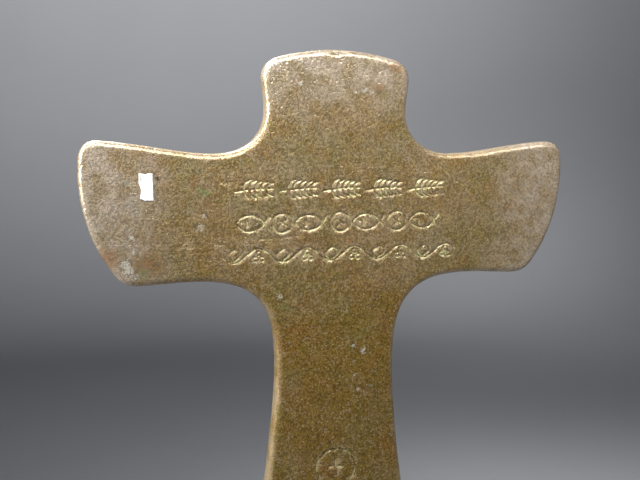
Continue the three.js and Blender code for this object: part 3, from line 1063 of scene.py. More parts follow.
PLACES = {
    Mark.GLUE: ((-46.0, 28.8, 0.9), (-44.5, 32.2, 0.8), (-45.6, 33.7, 1.0), (-44.3, 35.3, 0.9)),
    Mark.CHALK: (
        *((-45.3, 40.7, 0.5), (-45.1, 43.7, 0.5, 0.8), (-46.8, 46.2, 0.8), (-46.2, 47.8, 0.9, 0.9)),
        *((-44.9, 49.4, 0.7, 0.8), (-31.1, 38.6, 1.1, 0.5), (-30.0, 36.2, 0.5, 0.7), (-13.1, 54.9, 0.8, 0.6)),
        *((4.0, 9.2, 0.45), (6.2, 8.7, 0.5, 0.8), (7.8, 9.3, 0.4, 0.9), (8.2, 4.3, 0.35, 0.7)),
        *((-8.5, 7.5, 0.4, 0.9), (1.3, 53.2, 0.5, 0.6), (3.9, 67.0, 0.5, 0.9), (6.4, 68.2, 0.6, 0.9)),
        *((4.3, 74.0, 0.4, 0.9), (5.0, 77.3, 0.5, 0.7)),
    ),
    Mark.GREEN: (
        *((-29.8, 31.0, 1.1, 0.9), (-31.3, 30.1, 0.7, 0.7), (-43.0, 48.6, 1.3, 0.6)),
        *((6.5, 64.0, 2.4, 0.35), (-12.0, 57.5, 1.6, 0.5)),
    ),
    Mark.RUST: (
        *((-32.1, 29.7, 1.0, 0.8), (-28.9, 33.9, 0.9, 0.7), (-50.3, 44.9, 2.4, 0.9)),
        *((-42.0, 47.0, 3.2, 0.6), (13.5, 3.6, 1.6, 0.7), (9.3, 8.3, 1.3, 0.6)),
    ),
    Mark.SOOT: ((-39.7, 28.2, 0.45), (-56.0, 26.5, 0.6, 0.8)),
}
STAINS = tuple(Stain(mark, *row) for mark, rows in PLACES.items() for row in rows)


# ---- the cross ----------------------------------------------------------------------------


@dataclass
class CrossCasting:
    """The cross: one flared plate with soft edges and a foot that swells to a round block.

    Attributes:
        stretches: The right half of the outline, as cubic curves from the crown to the foot. Each
            has two handles and an end, as distance from the middle and depth below the crown.
        beyond_foot: How far the flare is carried on before the foot is cut off level.
        edge_round: Radius of the rounded edges.
        hollow: How much thinner the plate is at its edges.
        foot_depth: How deep the foot is, front to back.
        swell_height: How far above the foot the plate begins to thicken.
        swell_power: How late it thickens.
        swell_start: Half its thickness where it begins to thicken.
        swell_dip: How much it is drawn in there.
        waves: Size, height and shift of each layer of unevenness in the faces.
        foot_squareness: The foot's plan, where 2 is an ellipse.
        back_spacing: Distance between the points of the back.
        front_spacing: Distance between the points of the front.
        rim_spacing: Distance between points along the outline.
    """

    stretches: tuple[tuple[tuple[float, float], ...], ...] = (
        ((5, 0.1), (9.5, 0.9), (13, 1.8)),
        ((15.6, 2.4), (16.8, 4.2), (16.8, 6.8)),
        ((16.8, 9), (16.1, 11), (16.2, 13.8)),
        ((16.3, 18.5), (20, 22.6), (26.5, 22.9)),
        ((34, 23.1), (44, 20.6), (51.5, 20.1)),
        ((54.2, 19.9), (55.9, 21.2), (56, 24.5)),
        ((56.6, 33), (54.6, 41), (49.6, 48.2)),
        ((48, 50.6), (46.6, 51.4), (44, 51.4)),
        ((38, 51.4), (33, 50.4), (27.5, 51.2)),
        ((20.5, 52), (14.4, 55), (14, 68)),
        ((13.7, 76), (14.6, 86), (16.4, 99)),
        ((18.8, 116), (21, 134), (25, 150)),
    )
    beyond_foot: float = 4.0
    edge_round: float = 1.5
    hollow: float = 0.16
    foot_depth: float = 16.0
    swell_height: float = 26.0
    swell_power: float = 1.6
    swell_start: float = 2.45
    swell_dip: float = 0.9
    waves: tuple[tuple[float, float, float], ...] = ((15.0, 0.075, 0.0), (5.0, 0.040, 3.0), (1.5, 0.032, 9.0))
    foot_squareness: float = 3.2
    back_spacing: float = 0.56
    front_spacing: float = 0.68
    rim_spacing: float = 0.75
    ornament: Ornament = Ornament()

    def __post_init__(self) -> None:
        """Draws the outline and cuts the lines."""
        self.outline = self.draw_outline()
        self.inward = self.inward_directions(self.outline)
        edge = np.vstack([self.outline, self.outline[:1]])
        self.edge = Nearest(spaced(edge, 0.12))
        self.dents = self.strike_dents()
        self.back_cuts = self.engrave_back()
        self.front_cuts = self.engrave_front()

    def draw_outline(self) -> Array:
        """The whole outline as X and height, from the crown clockwise as seen from the front."""
        share = np.linspace(0, 1, 40)[1:, None]
        rows = [np.array([[0.0, 0.0]])]
        start = np.array([0.0, 0.0])
        for first, second, end in (np.array(row, float) for row in self.stretches):
            rest = 1 - share
            handles = 3 * rest**2 * share * first + 3 * rest * share**2 * second
            rows.append(rest**3 * start + handles + share**3 * end)
            start = end
        last_handle, foot = np.array(self.stretches[-1][1], float), start
        onward = (foot - last_handle) / np.linalg.norm(foot - last_handle)
        rows.append((foot + onward * self.beyond_foot)[None])
        right = np.concatenate(rows)
        left = right[::-1] * (-1, 1)
        whole = np.vstack([spaced(right, self.rim_spacing), spaced(left, self.rim_spacing)[:-1]])
        flat = np.column_stack([whole[:, 0], height(whole[:, 1])])
        stray = 0.10 * lumps(flat, 9.0, 11.0) + 0.04 * lumps(flat, 2.6, 7.0)
        return flat + self.inward_directions(flat) * stray[:, None]

    @staticmethod
    def inward_directions(outline: Array) -> Array:
        """The direction into the plate at each point of an outline that runs clockwise."""
        along = np.roll(outline, -1, axis=0) - np.roll(outline, 1, axis=0)
        along /= np.linalg.norm(along, axis=1)[:, None]
        inward = np.stack([along[:, 1], -along[:, 0]], axis=1)
        corners = outline[:, 1] < outline[:, 1].min() + 0.3
        inward[corners] = np.column_stack([-np.sign(outline[corners, 0]), np.zeros(corners.sum())])
        return inward

    def strike_dents(self) -> Array:
        """Pits and pimples of the cast skin: X, height, radius and depth of each, one a row."""
        chance = random.Random(5)
        rows = []
        while len(rows) < 150:
            x, z = chance.uniform(-56, 56), chance.uniform(FOOT + 20, CROWN)
            radius = chance.uniform(0.28, 0.62)
            depth = radius * (0.30 if chance.random() < 0.62 else -0.22)
            rows.append((x, z, radius, depth))
        found = np.array(rows)
        return found[inside(found[:, :2], self.outline)]

    def engrave_back(self) -> Cuts:
        """Cuts the ornament, a few scratches and the casting flaw at the crown."""
        cuts = Cuts(seed=2.0)
        for line in self.ornament.lines():
            cuts.add(np.column_stack([-line[:, 0], height(line[:, 1])]), Tool.ORNAMENT)
        scratches = (
            ((3.2, 84.2), (7.7, 85.3)),
            ((23.6, 25.2), (29.4, 30.0)),
            ((26.9, 27.2), (32.2, 32.1)),
            ((-26.9, 29.1), (-23.9, 29.2)),
            ((-18.0, 41.8), (-8.5, 41.2)),
        )
        for start, end in scratches:
            line = spaced(np.array([start, end]), 1.0)
            cuts.add(np.column_stack([-line[:, 0], height(line[:, 1])]), Tool.HAIRLINE)
        flaw = flowing([(-2.0, 0.75), (-0.6, 1.05), (0.5, 0.85), (1.7, 0.7)])
        cuts.add(np.column_stack([-flaw[:, 0], height(flaw[:, 1])]), Tool.FLAW, 0.05)
        cuts.finish()
        return cuts

    def engrave_front(self) -> Cuts:
        """Cuts a border along the outline and the rays round the host."""
        cuts = Cuts(seed=30.0)
        border = self.outline + self.inward * 3.3
        border = border[border[:, 1] > FOOT + self.swell_height * 0.55]
        first = int(np.argmax(np.linalg.norm(np.diff(border, axis=0), axis=1))) + 1
        cuts.add(np.roll(border, -first, axis=0), Tool.BORDER, 0.05)
        low, high = node_box("host_disc")
        middle = (low + high) / 2
        for number in range(32):
            degrees = number * 360 / 32
            if 235 < degrees < 305:
                continue
            reach = 14.6 if number % 2 else 13.0
            direction = np.array([math.cos(math.radians(degrees)), math.sin(math.radians(degrees))])
            rays = np.outer([10.6, reach], direction) + (middle[0], middle[2])
            cuts.add(rays, Tool.BORDER, 0.03)
        cuts.finish()
        return cuts

    def half_width(self, z: Array) -> Array:
        """Half the width of the stem at a height in its flare."""
        flare = self.outline[(self.outline[:, 0] > 0) & (self.outline[:, 1] < height(90))]
        flare = flare[np.argsort(flare[:, 1])]
        return np.interp(z, flare[:, 1], flare[:, 0])

    def surface(self, flat: Array, inward: Array, side: int) -> Array:
        """How far a face lies from the middle of the plate.

        Args:
            flat: Places, as X and height.
            inward: How far each lies inside the outline.
            side: 1 for the back, -1 for the front.

        Returns:
            The distance from the middle plane.
        """
        short = np.clip(self.edge_round - inward, 0.0, self.edge_round)
        plate = PLATE_HALF - self.edge_round + np.sqrt(self.edge_round**2 - short**2)
        plate = plate - self.hollow * (1.0 - ease(inward, 0.0, 9.0))
        share = np.clip(1.0 - (flat[:, 1] - FOOT) / self.swell_height, 0.0, 1.0)
        deep = self.swell_start + (self.foot_depth / 2 - self.swell_start) * share**self.swell_power
        deep = deep - self.swell_dip * (1 - share) ** 2
        across = np.clip(np.abs(flat[:, 0]) / self.half_width(flat[:, 1]), 0.0, 1.0)
        swell = deep * (1.0 - across**self.foot_squareness) ** (1.0 / self.foot_squareness)
        level = np.where(share > 0, smooth_max(plate, swell, 0.7), plate)
        soft = 0.35 + 0.65 * ease(inward, 0.0, 2.0)
        for size, high, shift in self.waves:
            level = level + soft * high * lumps(flat, size, 40.0 * side + shift)
        cuts = self.back_cuts if side > 0 else self.front_cuts
        below, _ = cuts.at(flat)
        for x, z, radius, depth in self.dents if side > 0 else self.dents[::3] * (-1, 1, 1, 1):
            near = (flat[:, 0] - x) ** 2 + (flat[:, 1] - z) ** 2
            below = below + depth * np.exp(-near / (0.45 * radius**2))
        return level - below

    def face_fill(self, rim: Array, spacing: float, side: int) -> tuple[Array, Faces]:
        """Points and triangles of one face, closer together along the lines cut in it.

        Args:
            rim: The face's closed outline.
            spacing: The distance between points on the open face.
            side: 1 for the back, -1 for the front.

        Returns:
            All points as X and height, the rim's first, and the triangles.
        """
        fine = [(self.back_cuts if side > 0 else self.front_cuts).guides()]
        dents = self.dents if side > 0 else self.dents[::3] * (-1, 1, 1, 1)
        for x, z, radius, _ in dents:
            fine.append(arc((x, z), (radius * 0.4,) * 2, 0, 300, 5))
            fine.append(arc((x, z), (radius * 0.9,) * 2, 15, 345, 11))
        if side > 0:
            for stain in STAINS:
                round_it = arc((-stain.right, height(stain.depth)), (stain.radius * 1.2,) * 2, 0, 350, 20)
                fine.append(hexagonal(round_it, 0.25, 0.1))
        close = thinned(np.concatenate(fine), 0.105)
        edge = np.vstack([rim, rim[:1]])
        away, _ = Nearest(spaced(edge, 0.1)).find(close)
        close = close[inside(close, rim) & (away > 0.12)]
        wide = hexagonal(rim, spacing, 0.6 * spacing)
        away, _ = Nearest(close).find(wide)
        return triangles(rim, np.vstack([close, wide[away > 0.55 * spacing]]))

    def rings(self) -> list[tuple[float, float]]:
        """The rings round the edge from back to front: distance inward, and share of the height."""
        turns = np.radians(np.linspace(90, 0, 9))
        back = [(self.edge_round * (1 - math.cos(turn)), 1.0) for turn in turns]
        sides = [(0.0, 0.4), (0.0, -0.4)]
        return back + sides + [(inward, -share) for inward, share in reversed(back)]

    def make(self) -> Piece:
        """Builds the casting.

        Returns:
            The piece, with the attributes wear, rim for the painted edge highlight, one for the painted
            sheen, groove and one for each kind of stain.
        """
        rows = []
        for inward, share in self.rings():
            flat = self.outline + self.inward * inward
            level = self.surface(flat, np.full(len(flat), inward), 1 if share > 0 else -1)
            rows.append(standing(flat, level * share))
        count = len(self.outline)
        faces = rings_to_faces(len(rows), count, False)
        offset = count * len(rows)
        sides = ((1, 0, self.back_spacing), (-1, len(rows) - 1, self.front_spacing))
        for side, ring, spacing in sides:
            rim = rows[ring][:, [0, 2]]
            flat, fill = self.face_fill(rim, spacing, side)
            inner = flat[count:]
            away, _ = self.edge.find(inner)
            level = self.surface(inner, away, side)
            rows.append(standing(inner, side * level))
            number = np.concatenate([np.arange(count) + ring * count, np.arange(len(inner)) + offset])
            faces += [tuple(int(number[i]) for i in face) for face in fill]
            offset += len(inner)
        piece = build("cross_plate", np.vstack(rows), faces)
        self.level_foot(piece)
        self.mark(piece)
        return piece

    def level_foot(self, piece: Piece) -> None:
        """Cuts the foot off level and drills it for the stud and the dowels.

        Args:
            piece: The casting, whose mesh is changed.
        """
        with editing(piece) as form:
            everything = form.verts[:] + form.edges[:] + form.faces[:]
            cut = bmesh.ops.bisect_plane(
                form, geom=everything, plane_co=(0, 0, FOOT * MM), plane_no=(0, 0, -1), clear_outer=True
            )
            loop = [point for point in cut["geom_cut"] if isinstance(point, bmesh.types.BMVert)]
            loop.sort(key=lambda point: math.atan2(point.co.y, point.co.x))
            flat = [np.array([point.co.xy for point in loop]) / MM]
            tops = []
            for node, play in (("threaded_stud", 0.12), ("dowel_left", 0.03), ("dowel_right", 0.03)):
                low, high = node_box(node)
                radius = (high[0] - low[0]) / 2 + play
                flat.append(arc(((low[0] + high[0]) / 2, 0), (radius, radius), 0, 348.75, 31))
                tops.append(float(high[2]) + 0.6)
            given, starts = np.vstack(flat), np.cumsum([0] + [len(rows) for rows in flat])
            edges = []
            for a, b in zip(starts[:-1].tolist(), starts[1:].tolist()):
                edges += [(a + i, a + (i + 1) % (b - a)) for i in range(b - a)]
            made = delaunay_2d_cdt([Vector(p) for p in given], edges, [], 0, 1e-7, True)
            source = [ids[0] for ids in made[3]]
            faces = [[source[i] for i in face] for face in made[2]]
            middles = np.array([given[face].mean(axis=0) for face in faces])
            wanted = inside(middles, flat[0])
            for ring in flat[1:]:
                wanted &= ~inside(middles, ring)
            points = loop + [form.verts.new((x * MM, y * MM, FOOT * MM)) for x, y in given[len(loop) :]]
            for face, keep in zip(faces, wanted):
                if keep:
                    form.faces.new([points[i] for i in face])
            for start, ring, top in zip(starts[1:], flat[1:], tops):
                upper = [form.verts.new((x * MM, y * MM, top * MM)) for x, y in ring]
                lower = points[start : start + len(ring)]
                for i in range(len(ring)):
                    after = (i + 1) % len(ring)
                    form.faces.new((lower[i], lower[after], upper[after], upper[i]))
                form.faces.new(upper)
            bmesh.ops.recalc_face_normals(form, faces=form.faces)

    def mark(self, piece: Piece) -> None:
        """Stores what the finish reads: wear, the rim band of the painted edge highlight, the painted sheen,
        the lines and the stains.

        Args:
            piece: The casting.
        """
        mark_wear(piece, passes=2, gain=3.2)
        points = mesh_points(piece)
        flat = points[:, [0, 2]]
        away, _ = self.edge.find(flat)
        behind = points[:, 1] > 0
        # The rim band: the finish paints it pale as an edge highlight on the rubbed edge.
        store(piece, "rim", np.exp(-((away / 0.9) ** 2)))
        _, back_tint = self.back_cuts.at(flat)
        # Painted sheen: a greyish lighter tone painted on the crown, on the arm ends and faintly on the upper
        # arms, weaker on the front. It stands in for the light reflected there.
        upper = ease(flat[:, 1], CROWN - 26.0, CROWN)
        outer = ease(np.abs(flat[:, 0]), 26.0, 53.0)
        faint = 0.30 * ease(flat[:, 1], CROWN - 66.0, CROWN - 40.0)
        sheen_paint = np.maximum(np.maximum(upper, outer), faint) + 0.16 * lumps(flat, 7.0, 20.0)
        store(piece, "haze", np.clip(np.where(behind, sheen_paint, 0.35 * sheen_paint), 0.0, 1.0))
        store(piece, "groove", np.where(behind & (away > 0.05), back_tint, 0.0))
        for mark in PLACES:
            amount = np.zeros(len(points))
            for stain in (row for row in STAINS if row.mark is mark):
                near = (flat[:, 0] + stain.right) ** 2 + (flat[:, 1] - height(stain.depth)) ** 2
                amount += stain.strength * np.exp(-near / stain.radius**2)
            store(piece, mark.value[0], np.where(behind, np.clip(amount, 0.0, 1.2), 0.0))


# ---- finishes -----------------------------------------------------------------------------


class Board(NodeTree):
    """Wires the nodes of a finish."""

    def math(self, operation: str, first: object, second: object = 0.0) -> Socket:
        """Adds a sum on two values and gives its result."""
        made = self.node("ShaderNodeMath", operation=operation)
        self.feed(made.inputs[0], first)
        self.feed(made.inputs[1], second)
        return made.outputs[0]

    def blend(self, share: object, first: object, second: object, mode: str = "MIX") -> Socket:
        """Mixes two colours and gives the mixture."""
        made = self.node("ShaderNodeMix", data_type="RGBA", blend_type=mode)
        self.feed(made.inputs[0], share)
        self.feed(made.inputs[6], first)
        self.feed(made.inputs[7], second)
        return made.outputs[2]

    def grey(self, value: Socket) -> Socket:
        """Turns a varying value into a grey colour."""
        made = self.node("ShaderNodeCombineColor")
        for socket in made.inputs:
            self.feed(socket, value)
        return made.outputs[0]

    def mixed(self, share: Socket, first: object, second: object) -> Socket:
        """Mixes two values."""
        made = self.node("ShaderNodeMix", data_type="FLOAT")
        for socket, source in zip(made.inputs, (share, first, second)):
            self.feed(socket, source)
        return made.outputs[0]

    def stretch(
        self, value: object, low: float, high: float, to_low: float = 0.0, to_high: float = 1.0
    ) -> Socket:
        """Maps one range of values softly to another."""
        made = self.node("ShaderNodeMapRange", interpolation_type="SMOOTHSTEP")
        for socket, source in zip(made.inputs, (value, low, high, to_low, to_high)):
            self.feed(socket, source)
        return made.outputs[0]

    def place(self, squash: Optional[tuple[float, float, float]] = None) -> Socket:
        """The place on the object, stretched along its own directions if wanted."""
        where = self.node("ShaderNodeTexCoord").outputs["Object"]
        if squash is None:
            return where
        made = self.node("ShaderNodeVectorMath", operation="MULTIPLY")
        self.feed(made.inputs[0], where)
        self.feed(made.inputs[1], squash)
        return made.outputs[0]

    def grain(
        self, size: float, detail: float = 3.0, where: Optional[Socket] = None, bent: float = 0.0
    ) -> Socket:
        """Cloudy noise whose clouds are so many millimetres apart.

        Args:
            size: The distance in millimetres.
            detail: How many finer layers it has.
            where: The place it is read at.
            bent: How far it is twisted.

        Returns:
            A value round 0.5.
        """
        made = self.node("ShaderNodeTexNoise")
        self.feed(made.inputs["Vector"], where or self.place())
        made.inputs["Scale"].default_value = 1.0 / (size * MM)
        made.inputs["Detail"].default_value = detail
        made.inputs["Distortion"].default_value = bent
        return made.outputs[0]

    def cells(self, size: float, feature: str = "F1", where: Optional[Socket] = None) -> bpy.types.Node:
        """Cells of so many millimetres, with their distance and their own chance colour."""
        made = self.node("ShaderNodeTexVoronoi", feature=feature)
        self.feed(made.inputs["Vector"], where or self.place())
        made.inputs["Scale"].default_value = 1.0 / (size * MM)
        return made

    def kept(self, name: str) -> Socket:
        """Reads a number kept on the mesh."""
        return self.node("ShaderNodeAttribute", attribute_name=name).outputs["Fac"]

    def use(self, effect: bpy.types.NodeTree, **values: object) -> bpy.types.Node:
        """Adds an effect and feeds its inputs, with _ for each space in their names."""
        made = self.node("ShaderNodeGroup", node_tree=effect)
        for key, source in values.items():
            self.feed(made.inputs[key.replace("_", " ")], source)
        return made


def effect(
    name: str, inputs: Sequence[tuple[str, str, object]], outputs: Sequence[tuple[str, str]]
) -> tuple[Board, bpy.types.Node, bpy.types.Node]:
    """Starts a shader group.

    Args:
        name: Its name.
        inputs: Name, kind ("Float" or "Color") and first value of each input.
        outputs: Name and kind of each output.

    Returns:
        The board, its input node and its output node.
    """
    tree = bpy.data.node_groups.new(name, "ShaderNodeTree")
    for label, kind, value in inputs:
        made = tree.interface.new_socket(label, in_out="INPUT", socket_type="NodeSocket" + kind)
        made.default_value = value
    for label, kind in outputs:
        tree.interface.new_socket(label, in_out="OUTPUT", socket_type="NodeSocket" + kind)
    board = Board(tree)
    return board, board.node("NodeGroupInput"), board.node("NodeGroupOutput")


@lru_cache(maxsize=None)
def cast_skin() -> bpy.types.NodeTree:
    """The sandy skin that the mould leaves: Height, light and dark Speck and holes; Glint gives bright points
    for painted sparkle highlights.
    """
    board, given, out = effect(
        "cast_skin",
        [("Pits", "Float", 0.5)],
        [("Height", "Float"), ("Speck", "Float"), ("Pit", "Float"), ("Glint", "Float")],
    )
    sand = board.grain(0.50, 2.0, bent=0.4)
    fine = board.grain(0.23, 1.0)
    swell = board.grain(2.6, 2.0)
    hole = board.cells(1.7).outputs["Distance"]
    few = board.stretch(board.grain(4.5, 1.0), 0.42, 0.62)
    pit = board.math("MULTIPLY", board.stretch(hole, 0.26, 0.08), few)
    pit = board.math("MULTIPLY", pit, given.outputs["Pits"])
    fine_part = board.math("MULTIPLY", fine, 0.35)
    swell_part = board.math("MULTIPLY", swell, 0.8)
    level = board.math("ADD", board.math("ADD", sand, fine_part), swell_part)
    board.feed(out.inputs["Height"], board.math("SUBTRACT", level, pit))
    mixed = board.math("ADD", board.math("MULTIPLY", sand, 0.56), board.math("MULTIPLY", fine, 0.44))
    board.feed(out.inputs["Speck"], board.stretch(mixed, 0.38, 0.62))
    board.feed(out.inputs["Pit"], pit)
    # Glint: bright points that the finish paints in as sparkle highlights.
    spark = board.cells(0.72)
    chosen = board.stretch(spark.outputs["Color"], 0.60, 0.74)
    glint = board.math("MULTIPLY", board.stretch(spark.outputs["Distance"], 0.40, 0.14), chosen)
    board.feed(out.inputs["Glint"], glint)
    return board.tree


@lru_cache(maxsize=None)
def patina() -> bpy.types.NodeTree:
    """Age on bronze: three tones that run into each other in clouds of several sizes."""
    board, given, out = effect(
        "patina",
        [("Body", "Color", (1, 1, 1, 1)), ("Olive", "Color", (1, 1, 1, 1)), ("Warm", "Color", (1, 1, 1, 1))],
        [("Color", "Color"), ("Cloud", "Float")],
    )
    broad = board.grain(13.0, 4.0, bent=0.8)
    small = board.grain(3.2, 3.0, bent=0.5)
    olive = board.math("MULTIPLY", board.stretch(broad, 0.42, 0.64), 0.70)
    warm = board.math("MULTIPLY", board.stretch(board.grain(8.0, 4.0, bent=1.2), 0.46, 0.70), 0.62)
    warm = board.math("MULTIPLY", warm, board.stretch(small, 0.36, 0.60, 0.35, 1.0))
    colour = board.blend(olive, given.outputs["Body"], given.outputs["Olive"])
    colour = board.blend(warm, colour, given.outputs["Warm"])
    board.feed(out.inputs["Color"], colour)
    board.feed(out.inputs["Cloud"], small)
    return board.tree


@lru_cache(maxsize=None)
def rubbed() -> bpy.types.NodeTree:
    """Where hands have rubbed and where dirt has stayed, broken up by the skin."""
    board, given, out = effect(
        "rubbed",
        [("Wear", "Float", 0.5), ("Speck", "Float", 0.5)],
        [("Crest", "Float"), ("Hollow", "Float")],
    )
    broken = board.math("MULTIPLY", board.math("SUBTRACT", given.outputs["Speck"], 0.5), 0.24)
    cloud = board.math("MULTIPLY", board.math("SUBTRACT", board.grain(2.2, 3.0), 0.5), 0.5)
    level = board.math("ADD", board.math("ADD", given.outputs["Wear"], broken), cloud)
    board.feed(out.inputs["Crest"], board.stretch(level, 0.58, 0.88))
    board.feed(out.inputs["Hollow"], board.stretch(level, 0.42, 0.14))
    return board.tree


@lru_cache(maxsize=None)
def handling() -> bpy.types.NodeTree:
    """Fine scratches in three directions: Mark 0 to 1, for colour, gloss and bump."""
    board, _, out = effect("handling", [], [("Mark", "Float")])
    total: object = 0.0
    for squash, size in (((1.0, 1.0, 0.08), 0.7), ((0.07, 1.0, 0.9), 0.8), ((0.5, 1.0, 0.16), 1.1)):
        line = board.cells(size, "DISTANCE_TO_EDGE", board.place(squash)).outputs["Distance"]
        thin = board.stretch(line, 0.022, 0.0)
        gate = board.stretch(board.grain(6.0 * size, 2.0), 0.54, 0.66)
        total = board.math("MAXIMUM", total, board.math("MULTIPLY", thin, gate))
    board.feed(out.inputs["Mark"], total)
    return board.tree


def start_finish(name: str, **uniform: object) -> tuple[Board, bpy.types.Node, bpy.types.Material]:
    """Starts a material with one surface shader.

    Args:
        name: The material's name.
        uniform: Values that are the same all over, by socket name with _ for each space.

    Returns:
        The board, the shader and the material.
    """
    material = bpy.data.materials.new(name)
    material.use_nodes = True
    board = Board(material.node_tree)
    shader = next(node for node in board.tree.nodes if node.type == "BSDF_PRINCIPLED")
    for key, value in uniform.items():
        shader.inputs[key.replace("_", " ")].default_value = value
    return board, shader, material


def press(board: Board, shader: bpy.types.Node, level: Socket, depth: float) -> None:
    """Adds fine relief to a finish.

    Args:
        board: The finish's board.
        shader: Its shader.
        level: The relief, from 0 to 1.
        depth: How deep it is, in millimetres.
    """
    bump = board.node("ShaderNodeBump")
    bump.inputs["Strength"].default_value = 1.0
    bump.inputs["Distance"].default_value = depth * MM
    board.feed(bump.inputs["Height"], level)
    board.feed(shader.inputs["Normal"], bump.outputs["Normal"])


@dataclass(frozen=True)
class CastBronze:
    """Sand-cast bronze under a brown patina.

    Attributes:
        name: The material's name.
        body: The common tone.
        olive: The greener tone.
        warm: The orange-brown tone.
        bright: The metal where it is rubbed.
        dark: The dirt in hollows.
        haze: The tone of the painted sheen, a painted reflection of the light on the cross's crown and arm
            ends.
        skin_depth: How rough the cast skin is, in millimetres.
        pits: How many casting pits it has, from 0 to 1.
        metallic: How bare the metal is.
        gloss: Its roughness where rubbed and where not.
        stained: True on the cross, whose back carries stains.
    """

    name: str
    body: Colour = (0.212, 0.132, 0.027, 1)
    olive: Colour = (0.172, 0.130, 0.026, 1)
    warm: Colour = (0.230, 0.112, 0.022, 1)
    bright: Colour = (0.560, 0.430, 0.270, 1)
    dark: Colour = (0.050, 0.036, 0.020, 1)
    haze: Colour = (0.440, 0.363, 0.278, 1)
    skin_depth: float = 0.12
    pits: float = 0.6
    metallic: float = 0.55
    gloss: tuple[float, float] = (0.36, 0.54)
    stained: bool = False

    def material(self) -> bpy.types.Material:
        """Makes the material."""
        board, shader, material = start_finish(self.name, Specular_IOR_Level=0.5)
        skin = board.use(cast_skin(), Pits=self.pits)
        tones = board.use(patina(), Body=self.body, Olive=self.olive, Warm=self.warm)
        worn = board.use(rubbed(), Wear=board.kept("wear"), Speck=skin.outputs["Speck"])
        marks = board.use(handling()).outputs["Mark"]
        speck = board.stretch(skin.outputs["Speck"], 0.0, 1.0, 0.68, 1.36)
        colour = board.blend(1.0, tones.outputs["Color"], board.grey(speck), "MULTIPLY")
        colour = board.blend(board.math("MULTIPLY", worn.outputs["Hollow"], 0.75), colour, self.dark)
        colour = board.blend(board.math("MULTIPLY", skin.outputs["Pit"], 0.6), colour, self.dark)
        rubbed_and_glint = board.math("MULTIPLY", worn.outputs["Crest"], 0.55)
        rubbed_and_glint = board.math("MAXIMUM", rubbed_and_glint, board.math("MULTIPLY", marks, 0.35))
        # Painted glints: bright sparkle points painted into the colour, together with the rubbed crests and
        # scratches.
        rubbed_and_glint = board.math("MAXIMUM", rubbed_and_glint, board.math("MULTIPLY", skin.outputs["Glint"], 0.5))
        colour = board.blend(rubbed_and_glint, colour, self.bright)
        metal = board.stretch(tones.outputs["Cloud"], 0.3, 0.7, self.metallic + 0.12, self.metallic - 0.12)
        gloss = board.stretch(skin.outputs["Speck"], 0.0, 1.0, self.gloss[1] + 0.06, self.gloss[1] - 0.06)
        gloss = board.mixed(rubbed_and_glint, gloss, self.gloss[0])
        relief = board.math("SUBTRACT", skin.outputs["Height"], board.math("MULTIPLY", marks, 0.12))
        if self.stained:
            colour, metal, gloss = self.stains(board, skin, colour, metal, gloss)
        board.feed(shader.inputs["Base Color"], colour)
        board.feed(shader.inputs["Metallic"], metal)
        board.feed(shader.inputs["Roughness"], gloss)
        press(board, shader, relief, self.skin_depth)
        return material

    def stains(
        self, board: Board, skin: bpy.types.Node, colour: Socket, metal: Socket, gloss: Socket
    ) -> tuple[Socket, Socket, Socket]:
        """Adds the painted edge highlight, the painted sheen, the pale cut lines and the marks of age on the
        cross's back.

        Args:
            board: The finish's board.
            skin: The cast skin's node.
            colour: The colour so far.
            metal: How metallic it is so far.
            gloss: Its roughness so far.

        Returns:
            The new colour, metallic value and roughness.
        """
        speck = board.math("MULTIPLY", board.math("SUBTRACT", skin.outputs["Speck"], 0.5), 0.7)
        # Painted edge highlight: a pale cream band along the outline with lower roughness. It is partly
        # rubbed metal and partly a painted highlight.
        rim, cloud = board.kept("rim"), board.stretch(board.grain(6.0, 2.0), 0.35, 0.6, 0.3, 1.0)
        rim = board.math("MULTIPLY", rim, cloud)
        colour = board.blend(board.math("MULTIPLY", rim, 0.48), colour, (0.50, 0.385, 0.265, 1))
        gloss = board.mixed(board.math("MULTIPLY", rim, 0.6), gloss, 0.32)
        # Painted sheen: a greyish lighter tone painted on the crown and arm ends, standing in for reflected
        # light.
        haze, cloud = board.kept("haze"), board.stretch(board.grain(3.5, 4.0), 0.34, 0.62, 0.45, 0.90)
        haze = board.math("MULTIPLY", haze, cloud)
        grainy = board.grey(board.stretch(skin.outputs["Speck"], 0.0, 1.0, 0.74, 1.26))
        sheen_paint = board.blend(1.0, self.haze, grainy, "MULTIPLY")
        colour = board.blend(haze, colour, sheen_paint)
        for mark in Mark:
            name, tone, strength, bare, rough = mark.value
            amount = board.math("ADD", board.kept(name), speck)
            amount = board.math("ADD", amount, board.math("SUBTRACT", board.grain(1.1, 3.0), 0.5))
            amount = board.math("MULTIPLY", board.stretch(amount, 0.32, 0.72), strength)
            colour = board.blend(amount, colour, tone)
            metal = board.mixed(amount, metal, bare)
            gloss = board.mixed(amount, gloss, rough)
        line = board.kept("groove")
        pale = board.math("MULTIPLY", line, board.stretch(board.grain(1.6, 3.0), 0.36, 0.60, 0.30, 1.0))
        pale = board.stretch(pale, 0.16, 0.80, 0.0, 0.85)
        colour = board.blend(pale, colour, (0.520, 0.490, 0.230, 1))
        metal = board.mixed(pale, metal, 0.35)
        dirty = board.stretch(board.math("MULTIPLY", line, -1.0), 0.1, 0.6)
        colour = board.blend(board.math("MULTIPLY", dirty, 0.85), colour, self.dark)
        return colour, metal, gloss


